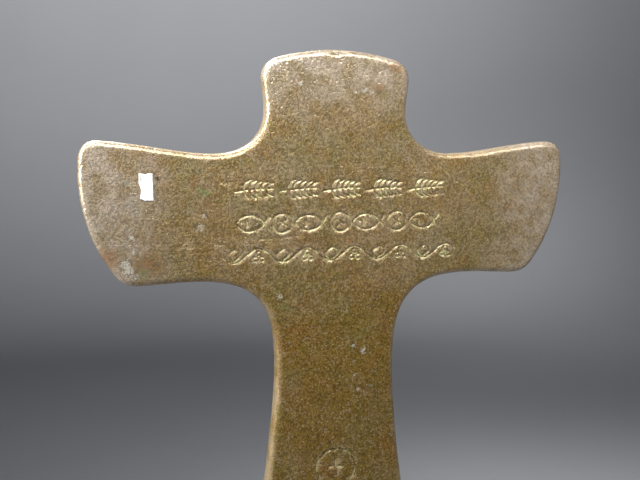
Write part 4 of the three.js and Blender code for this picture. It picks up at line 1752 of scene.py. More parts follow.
@dataclass(frozen=True)
class ZincSteel:
    """Bright zinc on steel, dulled in its hollows and marked by the spanner."""

    tone: Colour = (0.55, 0.56, 0.58, 1)
    dull: Colour = (0.20, 0.19, 0.18, 1)
    tarnish: Colour = (0.34, 0.27, 0.17, 1)

    def material(self) -> bpy.types.Material:
        """Makes the material."""
        board, shader, material = start_finish("zinc_steel")
        skin = board.use(cast_skin(), Pits=0.15)
        worn = board.use(rubbed(), Wear=board.kept("wear"), Speck=skin.outputs["Speck"])
        marks = board.use(handling()).outputs["Mark"]
        cloud = board.grain(1.8, 4.0)
        colour = board.blend(board.stretch(cloud, 0.46, 0.70, 0.0, 0.7), self.tone, self.tarnish)
        colour = board.blend(board.math("MULTIPLY", worn.outputs["Hollow"], 0.85), colour, self.dull)
        colour = board.blend(board.math("MULTIPLY", marks, 0.4), colour, (0.75, 0.75, 0.76, 1))
        board.feed(shader.inputs["Base Color"], colour)
        board.feed(shader.inputs["Metallic"], board.stretch(cloud, 0.3, 0.8, 1.0, 0.8))
        board.feed(shader.inputs["Roughness"], board.stretch(board.grain(0.5, 3.0), 0.3, 0.7, 0.26, 0.46))
        press(board, shader, board.math("SUBTRACT", board.grain(0.25, 3.0), marks), 0.012)
        return material


@dataclass(frozen=True)
class WoolFelt:
    """Dark green pressed wool, flecked and a little dusty."""

    body: Colour = (0.030, 0.052, 0.028, 1)
    light: Colour = (0.085, 0.110, 0.070, 1)
    dust: Colour = (0.22, 0.21, 0.18, 1)

    def material(self) -> bpy.types.Material:
        """Makes the material."""
        board, shader, material = start_finish(
            "wool_felt", Sheen_Weight=0.6, Sheen_Roughness=0.5, Specular_IOR_Level=0.15
        )
        hair = board.cells(0.35, "DISTANCE_TO_EDGE", board.place((1.0, 0.25, 1.0))).outputs["Distance"]
        other = board.cells(0.35, "DISTANCE_TO_EDGE", board.place((0.25, 1.0, 1.0))).outputs["Distance"]
        strands = board.math("MAXIMUM", board.stretch(hair, 0.10, 0.0), board.stretch(other, 0.10, 0.0))
        colour = board.blend(board.math("MULTIPLY", strands, 0.6), self.body, self.light)
        colour = board.blend(board.stretch(board.grain(9.0, 4.0), 0.52, 0.72, 0.0, 0.35), colour, self.dust)
        board.feed(shader.inputs["Base Color"], colour)
        board.feed(shader.inputs["Roughness"], board.stretch(board.grain(0.8, 3.0), 0.3, 0.7, 0.88, 1.0))
        press(board, shader, board.math("ADD", strands, board.grain(0.5, 4.0)), 0.10)
        return material


@dataclass(frozen=True)
class TornPaper:
    """White coated paper with grey fibres and a yellowed edge."""

    white: Colour = (0.90, 0.91, 0.93, 1)
    grey: Colour = (0.58, 0.57, 0.55, 1)
    yellow: Colour = (0.70, 0.62, 0.44, 1)

    def material(self) -> bpy.types.Material:
        """Makes the material."""
        board, shader, material = start_finish("torn_paper", Subsurface_Weight=0.08, Subsurface_Scale=0.0002)
        fibres = board.cells(0.5, "DISTANCE_TO_EDGE", board.place((1.0, 1.0, 0.35))).outputs["Distance"]
        cloud = board.stretch(board.grain(1.6, 4.0), 0.48, 0.72, 0.0, 0.75)
        colour = board.blend(cloud, self.white, self.grey)
        colour = board.blend(board.stretch(fibres, 0.03, 0.0, 0.0, 0.25), colour, self.grey)
        edge = board.stretch(board.kept("wear"), 0.42, 0.18, 0.0, 0.7)
        colour = board.blend(edge, colour, self.yellow)
        board.feed(shader.inputs["Base Color"], colour)
        board.feed(shader.inputs["Roughness"], board.stretch(board.grain(0.7, 3.0), 0.3, 0.7, 0.55, 0.80))
        press(board, shader, board.grain(0.3, 4.0), 0.02)
        return material


@dataclass(frozen=True)
class PaleFloor:
    """A matt pale floor that can be looked through from below."""

    tone: Colour = (0.27, 0.275, 0.29, 1)

    def material(self) -> bpy.types.Material:
        """Makes the material."""
        board, shader, material = start_finish("pale_floor", Roughness=0.85, Specular_IOR_Level=0.2)
        darker = tuple(0.94 * part for part in self.tone[:3]) + (1,)
        board.feed(shader.inputs["Base Color"], board.blend(board.grain(60.0, 4.0), self.tone, darker))
        press(board, shader, board.grain(1.2, 3.0), 0.02)
        clear = board.node("ShaderNodeBsdfTransparent")
        choose = board.node("ShaderNodeMixShader")
        out = next(node for node in board.tree.nodes if node.type == "OUTPUT_MATERIAL")
        board.feed(choose.inputs[0], board.node("ShaderNodeNewGeometry").outputs["Backfacing"])
        board.feed(choose.inputs[1], shader.outputs[0])
        board.feed(choose.inputs[2], clear.outputs[0])
        board.feed(out.inputs["Surface"], choose.outputs[0])
        return material


# ---- the studio ---------------------------------------------------------------------------


@dataclass(frozen=True)
class Camera:
    """The camera, in millimetres and degrees."""

    place: tuple[float, float, float] = (51.02, 184.15, 147.57)
    aim: tuple[float, float, float] = (4.10, 2.75, 123.80)
    roll: float = 0.29
    lens: float = 47.25
    sensor: float = 36.0

    def set_up(self) -> None:
        """Places the camera and makes it the scene's own."""
        data = bpy.data.cameras.new("camera")
        data.lens = self.lens
        data.sensor_width = self.sensor
        data.clip_start = 0.005
        camera = bpy.data.objects.new("camera", data)
        bpy.context.scene.collection.objects.link(camera)
        view = Vector(self.aim) - Vector(self.place)
        camera.location = Vector(self.place) * MM
        turn = view.to_track_quat("-Z", "Y").to_matrix() @ Matrix.Rotation(math.radians(self.roll), 3, "Z")
        camera.rotation_euler = turn.to_euler()
        bpy.context.scene.camera = camera


@dataclass(frozen=True)
class Lamp:
    """A soft rectangular lamp.

    Attributes:
        name: Its name.
        place: Where it hangs, in metres.
        aim: What it points at, in metres.
        size: Its width and height, in metres.
        power: Its power, in watts.
        spread: How wide its grid lets the light out, in degrees.
    """

    name: str
    place: tuple[float, float, float]
    aim: tuple[float, float, float]
    size: tuple[float, float]
    power: float
    spread: float

    def hang(self) -> None:
        """Hangs the lamp where the camera cannot see it."""
        data = bpy.data.lights.new(self.name, "AREA")
        data.shape = "RECTANGLE"
        data.size, data.size_y = self.size
        data.energy = self.power
        data.spread = math.radians(self.spread)
        lamp = bpy.data.objects.new(self.name, data)
        bpy.context.scene.collection.objects.link(lamp)
        lamp.location = self.place
        view = Vector(self.aim) - Vector(self.place)
        lamp.rotation_euler = view.to_track_quat("-Z", "Y").to_euler()
        lamp.visible_camera = False


@dataclass(frozen=True)
class Studio:
    """A pale floor that curves up all round, and soft lamps.

    Attributes:
        flat: How far the floor is level, in millimetres.
        radius: How far it reaches.
        wall: How high its curved rim goes.
        grey: The even light from all round.
        lamps: The lamps.
    """

    flat: float = 400.0
    radius: float = 720.0
    wall: float = 620.0
    grey: float = 0.11
    lamps: tuple[Lamp, ...] = (
        Lamp("front", (0.012, 0.10, 0.268), (0.002, 0.0, 0.158), (0.26, 0.05), 0.232, 88),
        Lamp("fill", (0.10, 0.55, 0.30), (0.0, 0.0, 0.12), (0.40, 0.30), 0.045, 60),
        Lamp("behind", (0.10, -0.15, 0.35), (0.0, 0.0, 0.14), (0.32, 0.10), 0.47, 62),
        Lamp("left", (0.25, 0.022, 0.20), (0.03, 0.0, 0.14), (0.07, 0.22), 0.30, 80),
        Lamp("backdrop", (-0.03, -0.30, 0.66), (-0.04, -0.72, 0.42), (0.70, 0.10), 2.8, 110),
        Lamp("low_wall", (-0.27, -0.48, 0.42), (-0.26, -0.45, 0.0), (0.20, 0.10), 0.10, 60),
    )

    def set_up(self) -> Piece:
        """Lays the floor, hangs the lamps and sets the even light.

        Returns:
            The floor.
        """
        turn = np.radians(np.linspace(0, 90, 24))
        curve = self.radius - self.flat
        ring = [(r, 0.0) for r in (0.5, 60.0, 150.0, 260.0)]
        ring += [(self.flat + curve * math.sin(t), curve * (1 - math.cos(t))) for t in turn]
        ring.append((self.radius, self.wall))
        sides = 96
        rows = [lying(circle(sides) * radius, z) for radius, z in ring]
        faces = rings_to_faces(len(rows), sides, False)
        faces.append(tuple(range(sides)))
        floor = build("floor", np.vstack(rows), faces)
        if floor.data.polygons[0].normal.z < 0:
            floor.data.flip_normals()
        floor.data.materials.append(PaleFloor().material())
        for lamp in self.lamps:
            lamp.hang()
        world = bpy.data.worlds.new("even_light")
        world.use_nodes = True
        backdrop = world.node_tree.nodes["Background"]
        backdrop.inputs["Color"].default_value = (0.95, 0.97, 1.0, 1)
        backdrop.inputs["Strength"].default_value = self.grey
        bpy.context.scene.world = world
        bpy.context.scene.view_settings.view_transform = "Standard"
        return floor


# ---- the castings on the front ------------------------------------------------------------


def sprite(points: Array) -> Array:
    """Turns X and depth below the crown into places on the front, at the castings' back."""
    flat = np.asarray(points, float)
    return np.column_stack([flat[:, 0], np.full(len(flat), CASTING_BACK), height(flat[:, 1])])


def finish_casting(name: str, parts: list[Piece], grain: float, passes: int = 2) -> Piece:
    """Fuses the forms of a casting, cuts its back flat and works out its wear."""
    return mark_wear(cut_back(cast_in_one(name, parts, grain, passes)), passes=4, gain=6.0)


def pins(places: Sequence[tuple[float, float]]) -> list[Piece]:
    """Short pins that stand on a casting's back and sit in the plate."""
    made = []
    for x, depth in places:
        z = height(depth)
        path = [[x, CASTING_BACK - 0.6, z], [x + 1e-4, CASTING_BACK + 0.5, z], [x, CASTING_BACK + 1.4, z]]
        made.append(tube("pin", np.array(path), 0.8, 16))
    return made


@dataclass
class HostDisc:
    """The round wafer above the chalice: a raised rim, a ring of beads and a flared cross."""

    depth: float = 29.5
    radius: float = 9.5
    ground: float = 1.05
    rim_width: float = 1.15
    rim_height: float = 0.5
    cross_reach: float = 5.6
    cross_height: float = 0.45
    bead_radius: float = 0.36
    beads: int = 52

    def rise(self, flat: Array) -> Array:
        """How far the front stands out, at places measured from the middle."""
        r = np.hypot(flat[:, 0], flat[:, 1])
        level = self.ground + 0.12 * (1 - (r / self.radius) ** 2)
        inner = self.radius - self.rim_width
        level = level + self.rim_height * ease(r, inner - 0.25, inner + 0.2)
        cross = np.zeros(len(flat))
        for along, across in ((flat[:, 0], flat[:, 1]), (flat[:, 1], flat[:, 0])):
            half = 0.55 + 0.030 * along**2
            arm = ease(half - np.abs(across), -0.16, 0.22)
            cross = np.maximum(cross, arm * ease(self.cross_reach - np.abs(along), -0.15, 0.2))
        level = level + self.cross_height * cross + 0.05 * lumps(flat, 2.4, 4.0)
        short = np.clip((r - (self.radius - 0.5)) / 0.5, 0, 1)
        return level * np.sqrt(np.clip(1 - 0.97 * short**2, 0, 1))

    def make(self, material: bpy.types.Material) -> Piece:
        """Builds the disc with its beads.

        Args:
            material: Its bronze.
        """
        middle = (0.0, height(self.depth))
        radii = np.concatenate([np.linspace(0.14, 8.8, 70), np.linspace(8.9, self.radius, 14)])
        disc = disc_relief("host_disc_cast", middle, radii, 176, self.rise)
        ring = self.radius - self.rim_width - 1.0
        circle = arc(middle, (ring, ring), 0, 360, 90)[:-1]
        path = np.column_stack([circle[:, 0], np.full(90, CASTING_BACK - self.ground), circle[:, 1]])
        beads = bpy.data.objects.new("beads", bpy.data.meshes.new("beads"))
        beads.data.from_pydata((path * MM).tolist(), [(i, (i + 1) % 90) for i in range(90)], [])
        bpy.context.scene.collection.objects.link(beads)
        grow(beads, beads_tree(), Count=self.beads, Bead_radius=self.bead_radius * MM, Material=material)
        return mark_wear(weld("host_disc_cast", [disc, beads]), 4, 8.0)


@dataclass
class Chalice:
    """The chalice in half relief: foot, knop with gadroons, calyx and open cup."""

    rim_depth: float = 42.5
    tall: float = 36.0
    flatness: float = 0.32
    lip: float = 0.55
    sides: int = 132
    outside: tuple[tuple[float, float], ...] = (
        (9.0, 0.0),
        (9.25, 0.012),
        (9.2, 0.030),
        (8.6, 0.040),
        (7.9, 0.047),
        (6.6, 0.070),
        (4.6, 0.105),
        (3.2, 0.145),
        (2.3, 0.195),
        (1.95, 0.24),
        (2.15, 0.262),
        (2.15, 0.275),
        (1.85, 0.29),
        (1.9, 0.33),
        (2.9, 0.345),
        (4.0, 0.375),
        (4.15, 0.405),
        (3.8, 0.435),
        (2.7, 0.458),
        (1.85, 0.47),
        (2.0, 0.50),
        (3.0, 0.535),
        (5.4, 0.575),
        (7.3, 0.63),
        (8.5, 0.70),
        (9.2, 0.80),
        (9.6, 0.90),
        (9.75, 0.965),
        (9.9, 0.985),
        (9.85, 1.0),
    )

    def make(self) -> Piece:
        """Builds the chalice."""
        base = height(self.rim_depth + self.tall)
        outer = flowing(self.outside, 6)
        inner = [(r - self.lip, share) for r, share in outer[::-1] if share > 0.72]
        inner = [(r, share) for r, share in inner if r > 0]
        floor = [(inner[-1][0] * f, inner[-1][1] - 0.02 * (1 - f)) for f in (0.8, 0.5, 0.2)]
        profile = np.vstack([[(0.05, 0.0)], outer, inner, floor])
        turn = 2 * np.pi * np.arange(self.sides) / self.sides
        rows = []
        for number, (radius, share) in enumerate(profile):
            lobes = 0.045 * np.cos(16 * turn) * ease(np.array([share]), 0.34, 0.36) * (share < 0.46)
            petals = 0.030 * np.cos(12 * turn) * ((share > 0.50) and (share < 0.66) and number <= len(outer))
            foot = 0.022 * np.cos(8 * turn) * (share < 0.13)
            ring = radius * (1 + lobes + petals + foot)
            ring = ring + (0.16 if 0.845 < share < 0.875 and number <= len(outer) else 0.0)
            x, y = ring * np.cos(turn), CASTING_BACK - self.flatness * ring * np.sin(turn)
            rows.append(np.column_stack([x, y, np.full(self.sides, base + self.tall * share)]))
        ends = [[0, CASTING_BACK, base], [0, CASTING_BACK, base + self.tall * profile[-1][1]]]
        points = np.vstack(rows + [np.array(ends)])
        points[:, 1] += 0.05 * lumps(points, 2.6, 8.0)
        cup = build("chalice_cast", points, rings_to_faces(len(rows), self.sides, True))
        return mark_wear(cut_back(cup), 4, 6.0)


@dataclass
class WheatEars:
    """Three ears of wheat on bent stalks, with creased grains and awns."""

    stalks: tuple[tuple[tuple[tuple[float, float], ...], float, int], ...] = (
        (((-9.8, 66), (-14.5, 55), (-23, 42), (-31, 34)), 143, 5),
        (((-10, 66.5), (-15.5, 56), (-25, 46), (-33, 41.5)), 160, 5),
        (((-10.3, 67), (-15.5, 58), (-23, 49.5), (-31, 46)), 177, 4),
    )
    stalk_radius: float = 0.75
    grain_radii: tuple[float, float, float] = (2.75, 1.45, 1.25)
    step: float = 3.0
    offset: float = 1.3
    lean: float = 24.0
    awn: float = 3.4

    def grain(self) -> Piece:
        """One grain lying along X, pointed at its tip and creased down its middle."""
        form = ball("grain", (1, 1, 1), 3)
        points = mesh_points(form)
        share = points[:, 0]
        slim = 1.0 - 0.35 * ease(share, 0.2, 1.0)
        crease = 1.0 - 0.30 * np.exp(-((points[:, 2] / 0.16) ** 2)) * (points[:, 1] < 0)
        points = points * np.column_stack([np.ones(len(points)), slim * crease, slim]) * np.array(
            [self.grain_radii[0], self.grain_radii[2], self.grain_radii[1]]
        )
        faces = [tuple(face.vertices) for face in form.data.polygons]
        discard(form)
        return build("grain", points, faces)

    def make(self, material: bpy.types.Material) -> Piece:
        """Builds the ears.

        Args:
            material: Their bronze.
        """
        chance = random.Random(12)
        parts, places, turns = [], [], []
        for points, degrees, pairs in self.stalks:
            path = sprite(flowing(points, 10))
            path[:, 1] -= 0.15
            parts.append(tube("stalk", path, np.linspace(1.15, 0.85, len(path)) * self.stalk_radius, 14))
            angle = math.radians(degrees)
            along = np.array([math.cos(angle), math.sin(angle)])
            across = np.array([-along[1], along[0]]) * self.offset
            root = path[-1][[0, 2]]
            seeds = [(root + along * pairs * self.step, 0.0)]
            for i in range(pairs):
                seeds += [(root + along * i * self.step + across * side, side) for side in (-1, 1)]
            for place, side in seeds:
                turn = angle + side * math.radians(self.lean)
                places.append((place[0], CASTING_BACK - 0.35, place[1]))
                turns.append((0.0, -turn, 0.0))
                start = place + np.array([math.cos(turn), math.sin(turn)]) * 2.2
                bend = turn - side * 0.12
                reach = np.array([math.cos(bend), math.sin(bend)]) * self.awn
                end = start + reach * chance.uniform(0.75, 1.0)
                end[0] = max(end[0], -53.2)
                tips = standing(np.array([start, end]), CASTING_BACK - 0.30)
                parts.append(bar(tips[0], tips[1], (0.34, 0.30, 0.22)))
            core = np.array([root - along, root + along * (pairs - 0.5) * self.step])
            parts.append(tube("core", standing(core, CASTING_BACK - 0.1), 0.8, 10))
        sizes = np.ones((len(places), 3))
        grains = copies("grains", self.grain(), np.array(places), np.array(turns), sizes, material, 0.06, 3)
        return finish_casting("wheat_cast", parts + [grains] + pins([(-15, 55.4), (-38, 39.6)]), 0.17)


@dataclass
class Vine:
    """A vine branch with a hanging bunch of grapes, veined leaves and tendrils."""

    branch: tuple[tuple[float, float], ...] = ((9.8, 66), (14.5, 55.5), (22, 44), (31, 33.5), (46, 29))
    rows: tuple[int, ...] = (3, 4, 4, 3, 2, 1)
    cluster: tuple[float, float] = (38.0, 34.0)
    spacing: float = 2.9
    grape_radius: float = 1.85
    leaves: tuple[tuple[float, float, float, float], ...] = ((25.5, 34, 7.5, 100), (46.5, 29.5, 5.9, 20))

    def leaf(self, x: float, depth: float, size: float, degrees: float) -> Piece:
        """A leaf with five toothed lobes and raised veins, drawn round its stalk end."""
        turn = 2 * np.pi * np.arange(180) / 180
        lobe = 0.74 + 0.24 * np.cos(5 * turn)
        heart = 1 - 0.34 * np.exp(-((turn - math.pi) ** 2) / 0.10)
        teeth = 0.022 * np.cos(35 * turn)
        reach = size * (lobe + teeth) * heart
        centre = np.array([x, height(depth)])
        start = math.radians(degrees)
        outline = centre + np.stack([np.cos(turn + start), np.sin(turn + start)], axis=1) * reach[:, None]
        edge = Nearest(spaced(np.vstack([outline, outline[:1]]), 0.15))

        def rise(flat: Array) -> Array:
            """Height of the leaf: cupped between its veins, rounded at its edge."""
            away, _ = edge.find(flat)
            local = flat - centre
            r = np.hypot(local[:, 0], local[:, 1])
            angle = np.arctan2(local[:, 1], local[:, 0]) - start
            nearest = np.abs((angle * 5 / (2 * np.pi) + 0.5) % 1.0 - 0.5) * 2 * np.pi / 5 * r
            side = np.abs((r * 0.9 - nearest * 1.1 + 10) % 1.5 - 0.75)
            veins = 0.26 * np.exp(-((nearest / 0.24) ** 2)) + 0.07 * np.exp(-((side / 0.14) ** 2))
            bow = 0.30 * np.sin(np.clip(nearest / 1.7, 0, 1) * np.pi / 2) * np.clip(r / size, 0, 1)
            return (0.95 + bow + veins) * (0.25 + 0.75 * ease(away, 0.0, 0.45))

        return patch("leaf", outline, rise, CASTING_BACK + 0.25, 0.21)

    def make(self, material: bpy.types.Material) -> Piece:
        """Builds the spray.

        Args:
            material: Its bronze.
        """
        path = sprite(flowing(self.branch, 12))
        path[:, 1] -= 0.2
        knots = 1 + 0.22 * np.exp(-((np.arange(len(path)) % 12 - 6) ** 2) / 3.0)
        parts = [tube("branch", path, 0.85 * knots * np.linspace(1.15, 0.75, len(path)), 14)]
        stalk = sprite([self.cluster, (37.6, 32.4), (37, 31)])
        parts.append(tube("stalk", stalk, 0.7, 12))
        parts += [self.leaf(*row) for row in self.leaves]
        chance = random.Random(4)
        places = []
        for row, count in enumerate(self.rows):
            for i in range(count):
                x = self.cluster[0] + (i - (count - 1) / 2) * self.spacing + chance.uniform(-0.15, 0.15)
                z = height(self.cluster[1] + row * self.spacing * 0.87)
                places.append((x, CASTING_BACK - 0.1 - chance.uniform(0.0, 0.35), z))
        ones = np.ones((len(places), 3))
        grape = ball("grape", (self.grape_radius,) * 3, 3)
        parts.append(copies("grapes", grape, np.array(places), 0 * ones, ones, material, 0.06, 8))
        for start, turns, size, flip in (((17.5, 50.5), 1.6, 2.2, 1), ((33.5, 31.0), 1.5, 1.7, -1)):
            t = np.linspace(0, 1, 40)
            radius = size * (1 - 0.8 * t)
            angle = flip * 2 * np.pi * turns * t
            across, down = start[0] + size - radius * np.cos(angle), start[1] - radius * np.sin(angle)
            line = sprite(np.stack([across, down], axis=1))
            line[:, 1] -= 0.12
            parts.append(tube("tendril", line, np.linspace(0.42, 0.26, len(line)), 8))
        return finish_casting("vine_cast", parts + pins([(25.5, 36), (38, 39)]), 0.17)


@dataclass
class Fish:
    """One fish: scales, fins, a rayed tail, an eye and a gill cover.

    Attributes:
        name: The piece's name.
        depth: Depth of its middle below the crown.
        facing: 1 if its head points to +X, else -1.
    """

    name: str
    depth: float
    facing: int
    length: float = 25.0
    tall: float = 8.4
    bulge: float = 2.2

    def make(self, material: bpy.types.Material) -> Piece:
        """Builds the fish.

        Args:
            material: Its bronze.
        """
        half = 0.37 * self.length
        middle = 0.13 * self.length
        body = ball("body", (half, self.bulge + 0.2, self.tall / 2), 5)
        points = mesh_points(body)
        share = points[:, 0] / half
        points[:, 2] *= 1 - 0.28 * ease(-share, 0.2, 1.0)
        points[:, 0] += middle
        body.data.vertices.foreach_set("co", (points * MM).astype(np.float32).ravel())
        parts = [body]
        scale = ball("scale", (0.86, 0.24, 0.80), 2)
        places, turns = [], []
        for column in range(11):
            x = middle - half + 2.6 + 1.12 * column
            for row in range(-3, 4):
                z = (row + 0.5 * (column % 2)) * 1.12
                level = 1 - ((x - middle) / half) ** 2 - (z / (self.tall / 2)) ** 2
                if level > 0.16 and x < middle + 0.46 * half:
                    y = -(self.bulge + 0.2) * math.sqrt(level)
                    places.append((x, y + 0.04, z))
                    lean_x = z * self.bulge**2 / ((self.tall / 2) ** 2) / max(-y, 0.3)
                    lean_z = -(x - middle) * self.bulge**2 / half**2 / max(-y, 0.3)
                    turns.append((math.atan(lean_x) * -1.0, 0.0, math.atan(lean_z) * -1.0 + 0.16))
        ones = np.ones((len(places), 3))
        parts.append(copies("scales", scale, np.array(places), np.array(turns), ones, material, 0.05, 2))
        for angle in np.linspace(-0.62, 0.62, 9):
            start = np.array([middle - half + 1.6, -0.55, 0.9 * angle])
            end = np.array([-self.length / 2 + 1.9 - 1.5 * abs(angle), -0.50, self.tall * 0.60 * angle])
            parts.append(bar(start, end, (0.5, 0.52, 0.40), 0.1))
        for side, from_x, to_x in ((1, 2.5, 4.5), (-1, 0.5, 2.5)):
            for i in range(6):
                x = from_x + i * 1.05 - 2.2
                start = np.array([x + middle, -0.6, side * (self.tall / 2 - 1.0)])
                end = start + (-1.3, 0.05, side * (1.75 - 0.22 * abs(i - 2)))
                parts.append(bar(start, end, (0.42, 0.38, 0.26)))
        for i in range(5):
            start = np.array([middle + 3.2, -self.bulge * 0.92, -0.9])
            end = start + (-2.4 + 0.2 * i, 0.15 + 0.05 * i, 0.5 - 0.52 * i)
            parts.append(bar(start, end, (0.30, 0.26, 0.2)))
        gill = arc((middle + 0.32 * half, 0.0), (1.5, 2.9), -72, 72, 14)
        level = np.clip(1 - ((gill[:, 0] - middle) / half) ** 2 - (gill[:, 1] / (self.tall / 2)) ** 2, 0, 1)
        gill_path = np.column_stack([gill[:, 0], -(self.bulge + 0.18) * np.sqrt(level), gill[:, 1]])
        parts.append(tube("gill", gill_path, 0.30, 8))
        eye_x, eye_z = middle + 0.68 * half, 0.95
        eye_y = -(self.bulge + 0.2) * math.sqrt(1 - 0.68**2 - (eye_z / (self.tall / 2)) ** 2)
        ring = arc((eye_x, eye_z), (0.78, 0.78), 0, 360, 20)
        ring_path = np.column_stack([ring[:, 0], np.full(21, eye_y + 0.02), ring[:, 1]])
        parts.append(tube("eye_ring", ring_path, 0.20, 8))
        eye = ball("eye", (0.42, 0.42, 0.42), 2)
        eye.data.transform(Matrix.Translation(Vector((eye_x, eye_y, eye_z)) * MM))
        parts.append(eye)
        piece = cast_in_one(self.name, parts, 0.15, 1)
        points = mesh_points(piece)
        points[:, 0] *= self.facing
        points += (0.0, CASTING_BACK, height(self.depth))
        set_points(piece, points)
        face_out(piece)
        return mark_wear(cut_back(piece), 4, 7.0)


@dataclass
class Loaf:
    """The round loaf with a cross cut in its crust."""

    depth: float = 119.0
    radius: float = 7.5
    tall: float = 2.75

    def rise(self, flat: Array) -> Array:
        """How far the crust stands out, at places measured from the middle."""
        r = np.hypot(flat[:, 0], flat[:, 1]) / self.radius
        dome = self.tall * np.clip(1 - r**2.6, 0, 1) ** 0.5
        cuts = np.zeros(len(flat))
        for along, across in ((flat[:, 0], flat[:, 1]), (flat[:, 1], flat[:, 0])):
            bend = 0.25 * np.sin(along * 0.5)
            width = 0.62 * np.clip(1 - (np.abs(along) / 5.9) ** 2, 0, 1) ** 0.5 + 1e-3
            away = np.abs(across - bend) / width
            lips = 0.16 * np.exp(-(((away - 1.35) / 0.35) ** 2)) * (np.abs(along) < 5.9)
            cuts = np.maximum(cuts, 0.85 * np.clip(1 - away**2, 0, 1) ** 0.7) - lips * 0.6
        crust = 0.13 * lumps(flat, 1.9, 5.0) + 0.06 * lumps(flat, 0.7, 9.0)
        return np.maximum((dome - cuts * np.clip(dome, 0, 1) + crust * np.clip(dome, 0, 1)), 0.0)

    def make(self) -> Piece:
        """Builds the loaf."""
        share = np.linspace(0.015, 1, 92)
        radii = self.radius * (1 - (1 - share) ** 1.35)
        return mark_wear(disc_relief("loaf_cast", (0.0, height(self.depth)), radii, 190, self.rise), 4, 5.0)


# ---- plinth, fixings, felt and label ------------------------------------------------------


@dataclass
class Plinth:
    """The rounded bronze plinth, hollowed below for the felt and bored for the fixings."""

    half_width: float = 40.0
    half_depth: float = 25.0
    bottom: float = 0.8
    tall: float = 15.0
    side: float = 5.0
    shoulder: float = 9.0
    squareness: float = 4.0
    felt_margin: float = 3.0
    recess_top: float = 1.7
    bore_radius: float = 7.0
    bore_top: float = 9.0
    sides: int = 420

    def sections(self) -> list[tuple[float, float]]:
        """How far in and how high each ring of the outside lies."""
        rows = [(0.75, 0.0), (0.35, 0.12), (0.1, 0.38), (0.0, 0.8), (0.0, 1.6), (0.02, 2.35)]
        rows += [(0.12, 2.5), (0.42, 2.66), (0.46, 2.80), (0.42, 2.94), (0.12, 3.1), (0.02, 3.25)]
        rows += [(0.0, 4.0), (0.0, self.side)]
        rise = self.tall - self.side
        for degrees in np.linspace(4, 90, 26):
            turn = math.radians(degrees)
            rows.append((self.shoulder * (1 - math.cos(turn)), self.side + rise * math.sin(turn)))
        return rows + [(self.shoulder + extra, self.tall) for extra in (1.0, 2.5, 4.0, 6.0, 8.0, 10.0, 12.0)]

    def make(self) -> Piece:
        """Builds the plinth."""
        rows = []
        for inward, up in self.sections():
            half_x, half_y = self.half_width - inward, self.half_depth - inward
            rows.append(lying(superellipse(half_x, half_y, self.squareness, self.sides), self.bottom + up))
        points = np.vstack(rows)
        out = points * (1.0 / self.half_width, 1.0 / self.half_depth, 0.0)
        out /= np.maximum(np.linalg.norm(out, axis=1), 1e-6)[:, None]
        calm = (points[:, 2] > self.bottom + 0.3) & (points[:, 2] < self.bottom + self.tall - 0.05)
        uneven = 0.09 * lumps(points, 9.0, 3.0) + 0.05 * lumps(points, 2.4, 6.0)
        points += out * uneven[:, None] * calm[:, None]
        under = []
        for half_x, half_y, z in (
            (self.half_width - self.felt_margin, self.half_depth - self.felt_margin, self.bottom),
            (self.half_width - self.felt_margin, self.half_depth - self.felt_margin, self.recess_top),
        ):
            flat = superellipse(half_x, half_y, self.squareness, self.sides)
            under.append(np.column_stack([flat, np.full(self.sides, z)]))
        count = self.sides
        shell = np.vstack(under[::-1] + [points])
        faces = rings_to_faces(len(rows) + 2, count, False)
        piece_points, piece_faces = [shell], list(faces)
        offset = len(shell)
        stud_low, stud_high = node_box("threaded_stud")
        stud = (stud_high[0] - stud_low[0]) / 2 + 0.2
        dowel_low, dowel_high = node_box("dowel_right")
        dowel = (dowel_high[0] - dowel_low[0]) / 2 + 0.05
        dowel_x, dowel_z = (dowel_low[0] + dowel_high[0]) / 2, dowel_low[2] - 0.4
        top_rim = rows[-1][:, :2]
        low_rim = under[1][:, :2]
        ring = arc((0, 0), (1, 1), 0, 354.375, 63)
        holes_top = [ring * stud, ring * dowel + (dowel_x, 0), ring * dowel - (dowel_x, 0)]
        levels = {"top": self.bottom + self.tall, "recess": self.recess_top, "seat": self.bore_top}
        for level, rim, holes in (
            ("top", top_rim, holes_top),
            ("recess", low_rim, [ring * self.bore_radius]),
            ("seat", ring * self.bore_radius, [holes_top[0]]),
        ):
            inner = np.vstack(holes + [hexagonal(rim, 1.4, 0.7)])
            flat, fill = triangles(rim, inner)
            middles = flat[np.array(fill)].mean(axis=1)
            keep = np.ones(len(fill), bool)
            for hole in holes:
                keep &= ~inside(middles, hole)
            wobble = 0.03 * lumps(flat, 3.0, 2.0) if level == "recess" else np.zeros(len(flat))
            wobble[: len(rim) + sum(len(hole) for hole in holes)] = 0.0
            piece_points.append(np.column_stack([flat, levels[level] + wobble]))
            piece_faces += [tuple(offset + i for i in face) for face, good in zip(fill, keep) if good]
            offset += len(flat)
        walls = [
            (ring * self.bore_radius, self.recess_top, self.bore_top, False),
            (holes_top[0], self.bore_top, self.bottom + self.tall, False),
            (holes_top[1], dowel_z, self.bottom + self.tall, True),
            (holes_top[2], dowel_z, self.bottom + self.tall, True),
        ]
        for flat, low, high, blind in walls:
            size = len(flat)
            rings = [np.column_stack([flat, np.full(size, z)]) for z in (low, high)]
            piece_points += rings
            piece_faces += [tuple(offset + i for i in face) for face in rings_to_faces(2, size, False)]
            if blind:
                piece_faces.append(tuple(offset + i for i in range(size)))
            offset += 2 * size
        piece = build("plinth_cast", np.vstack(piece_points), piece_faces)
        return mark_wear(piece, 5, 5.0)


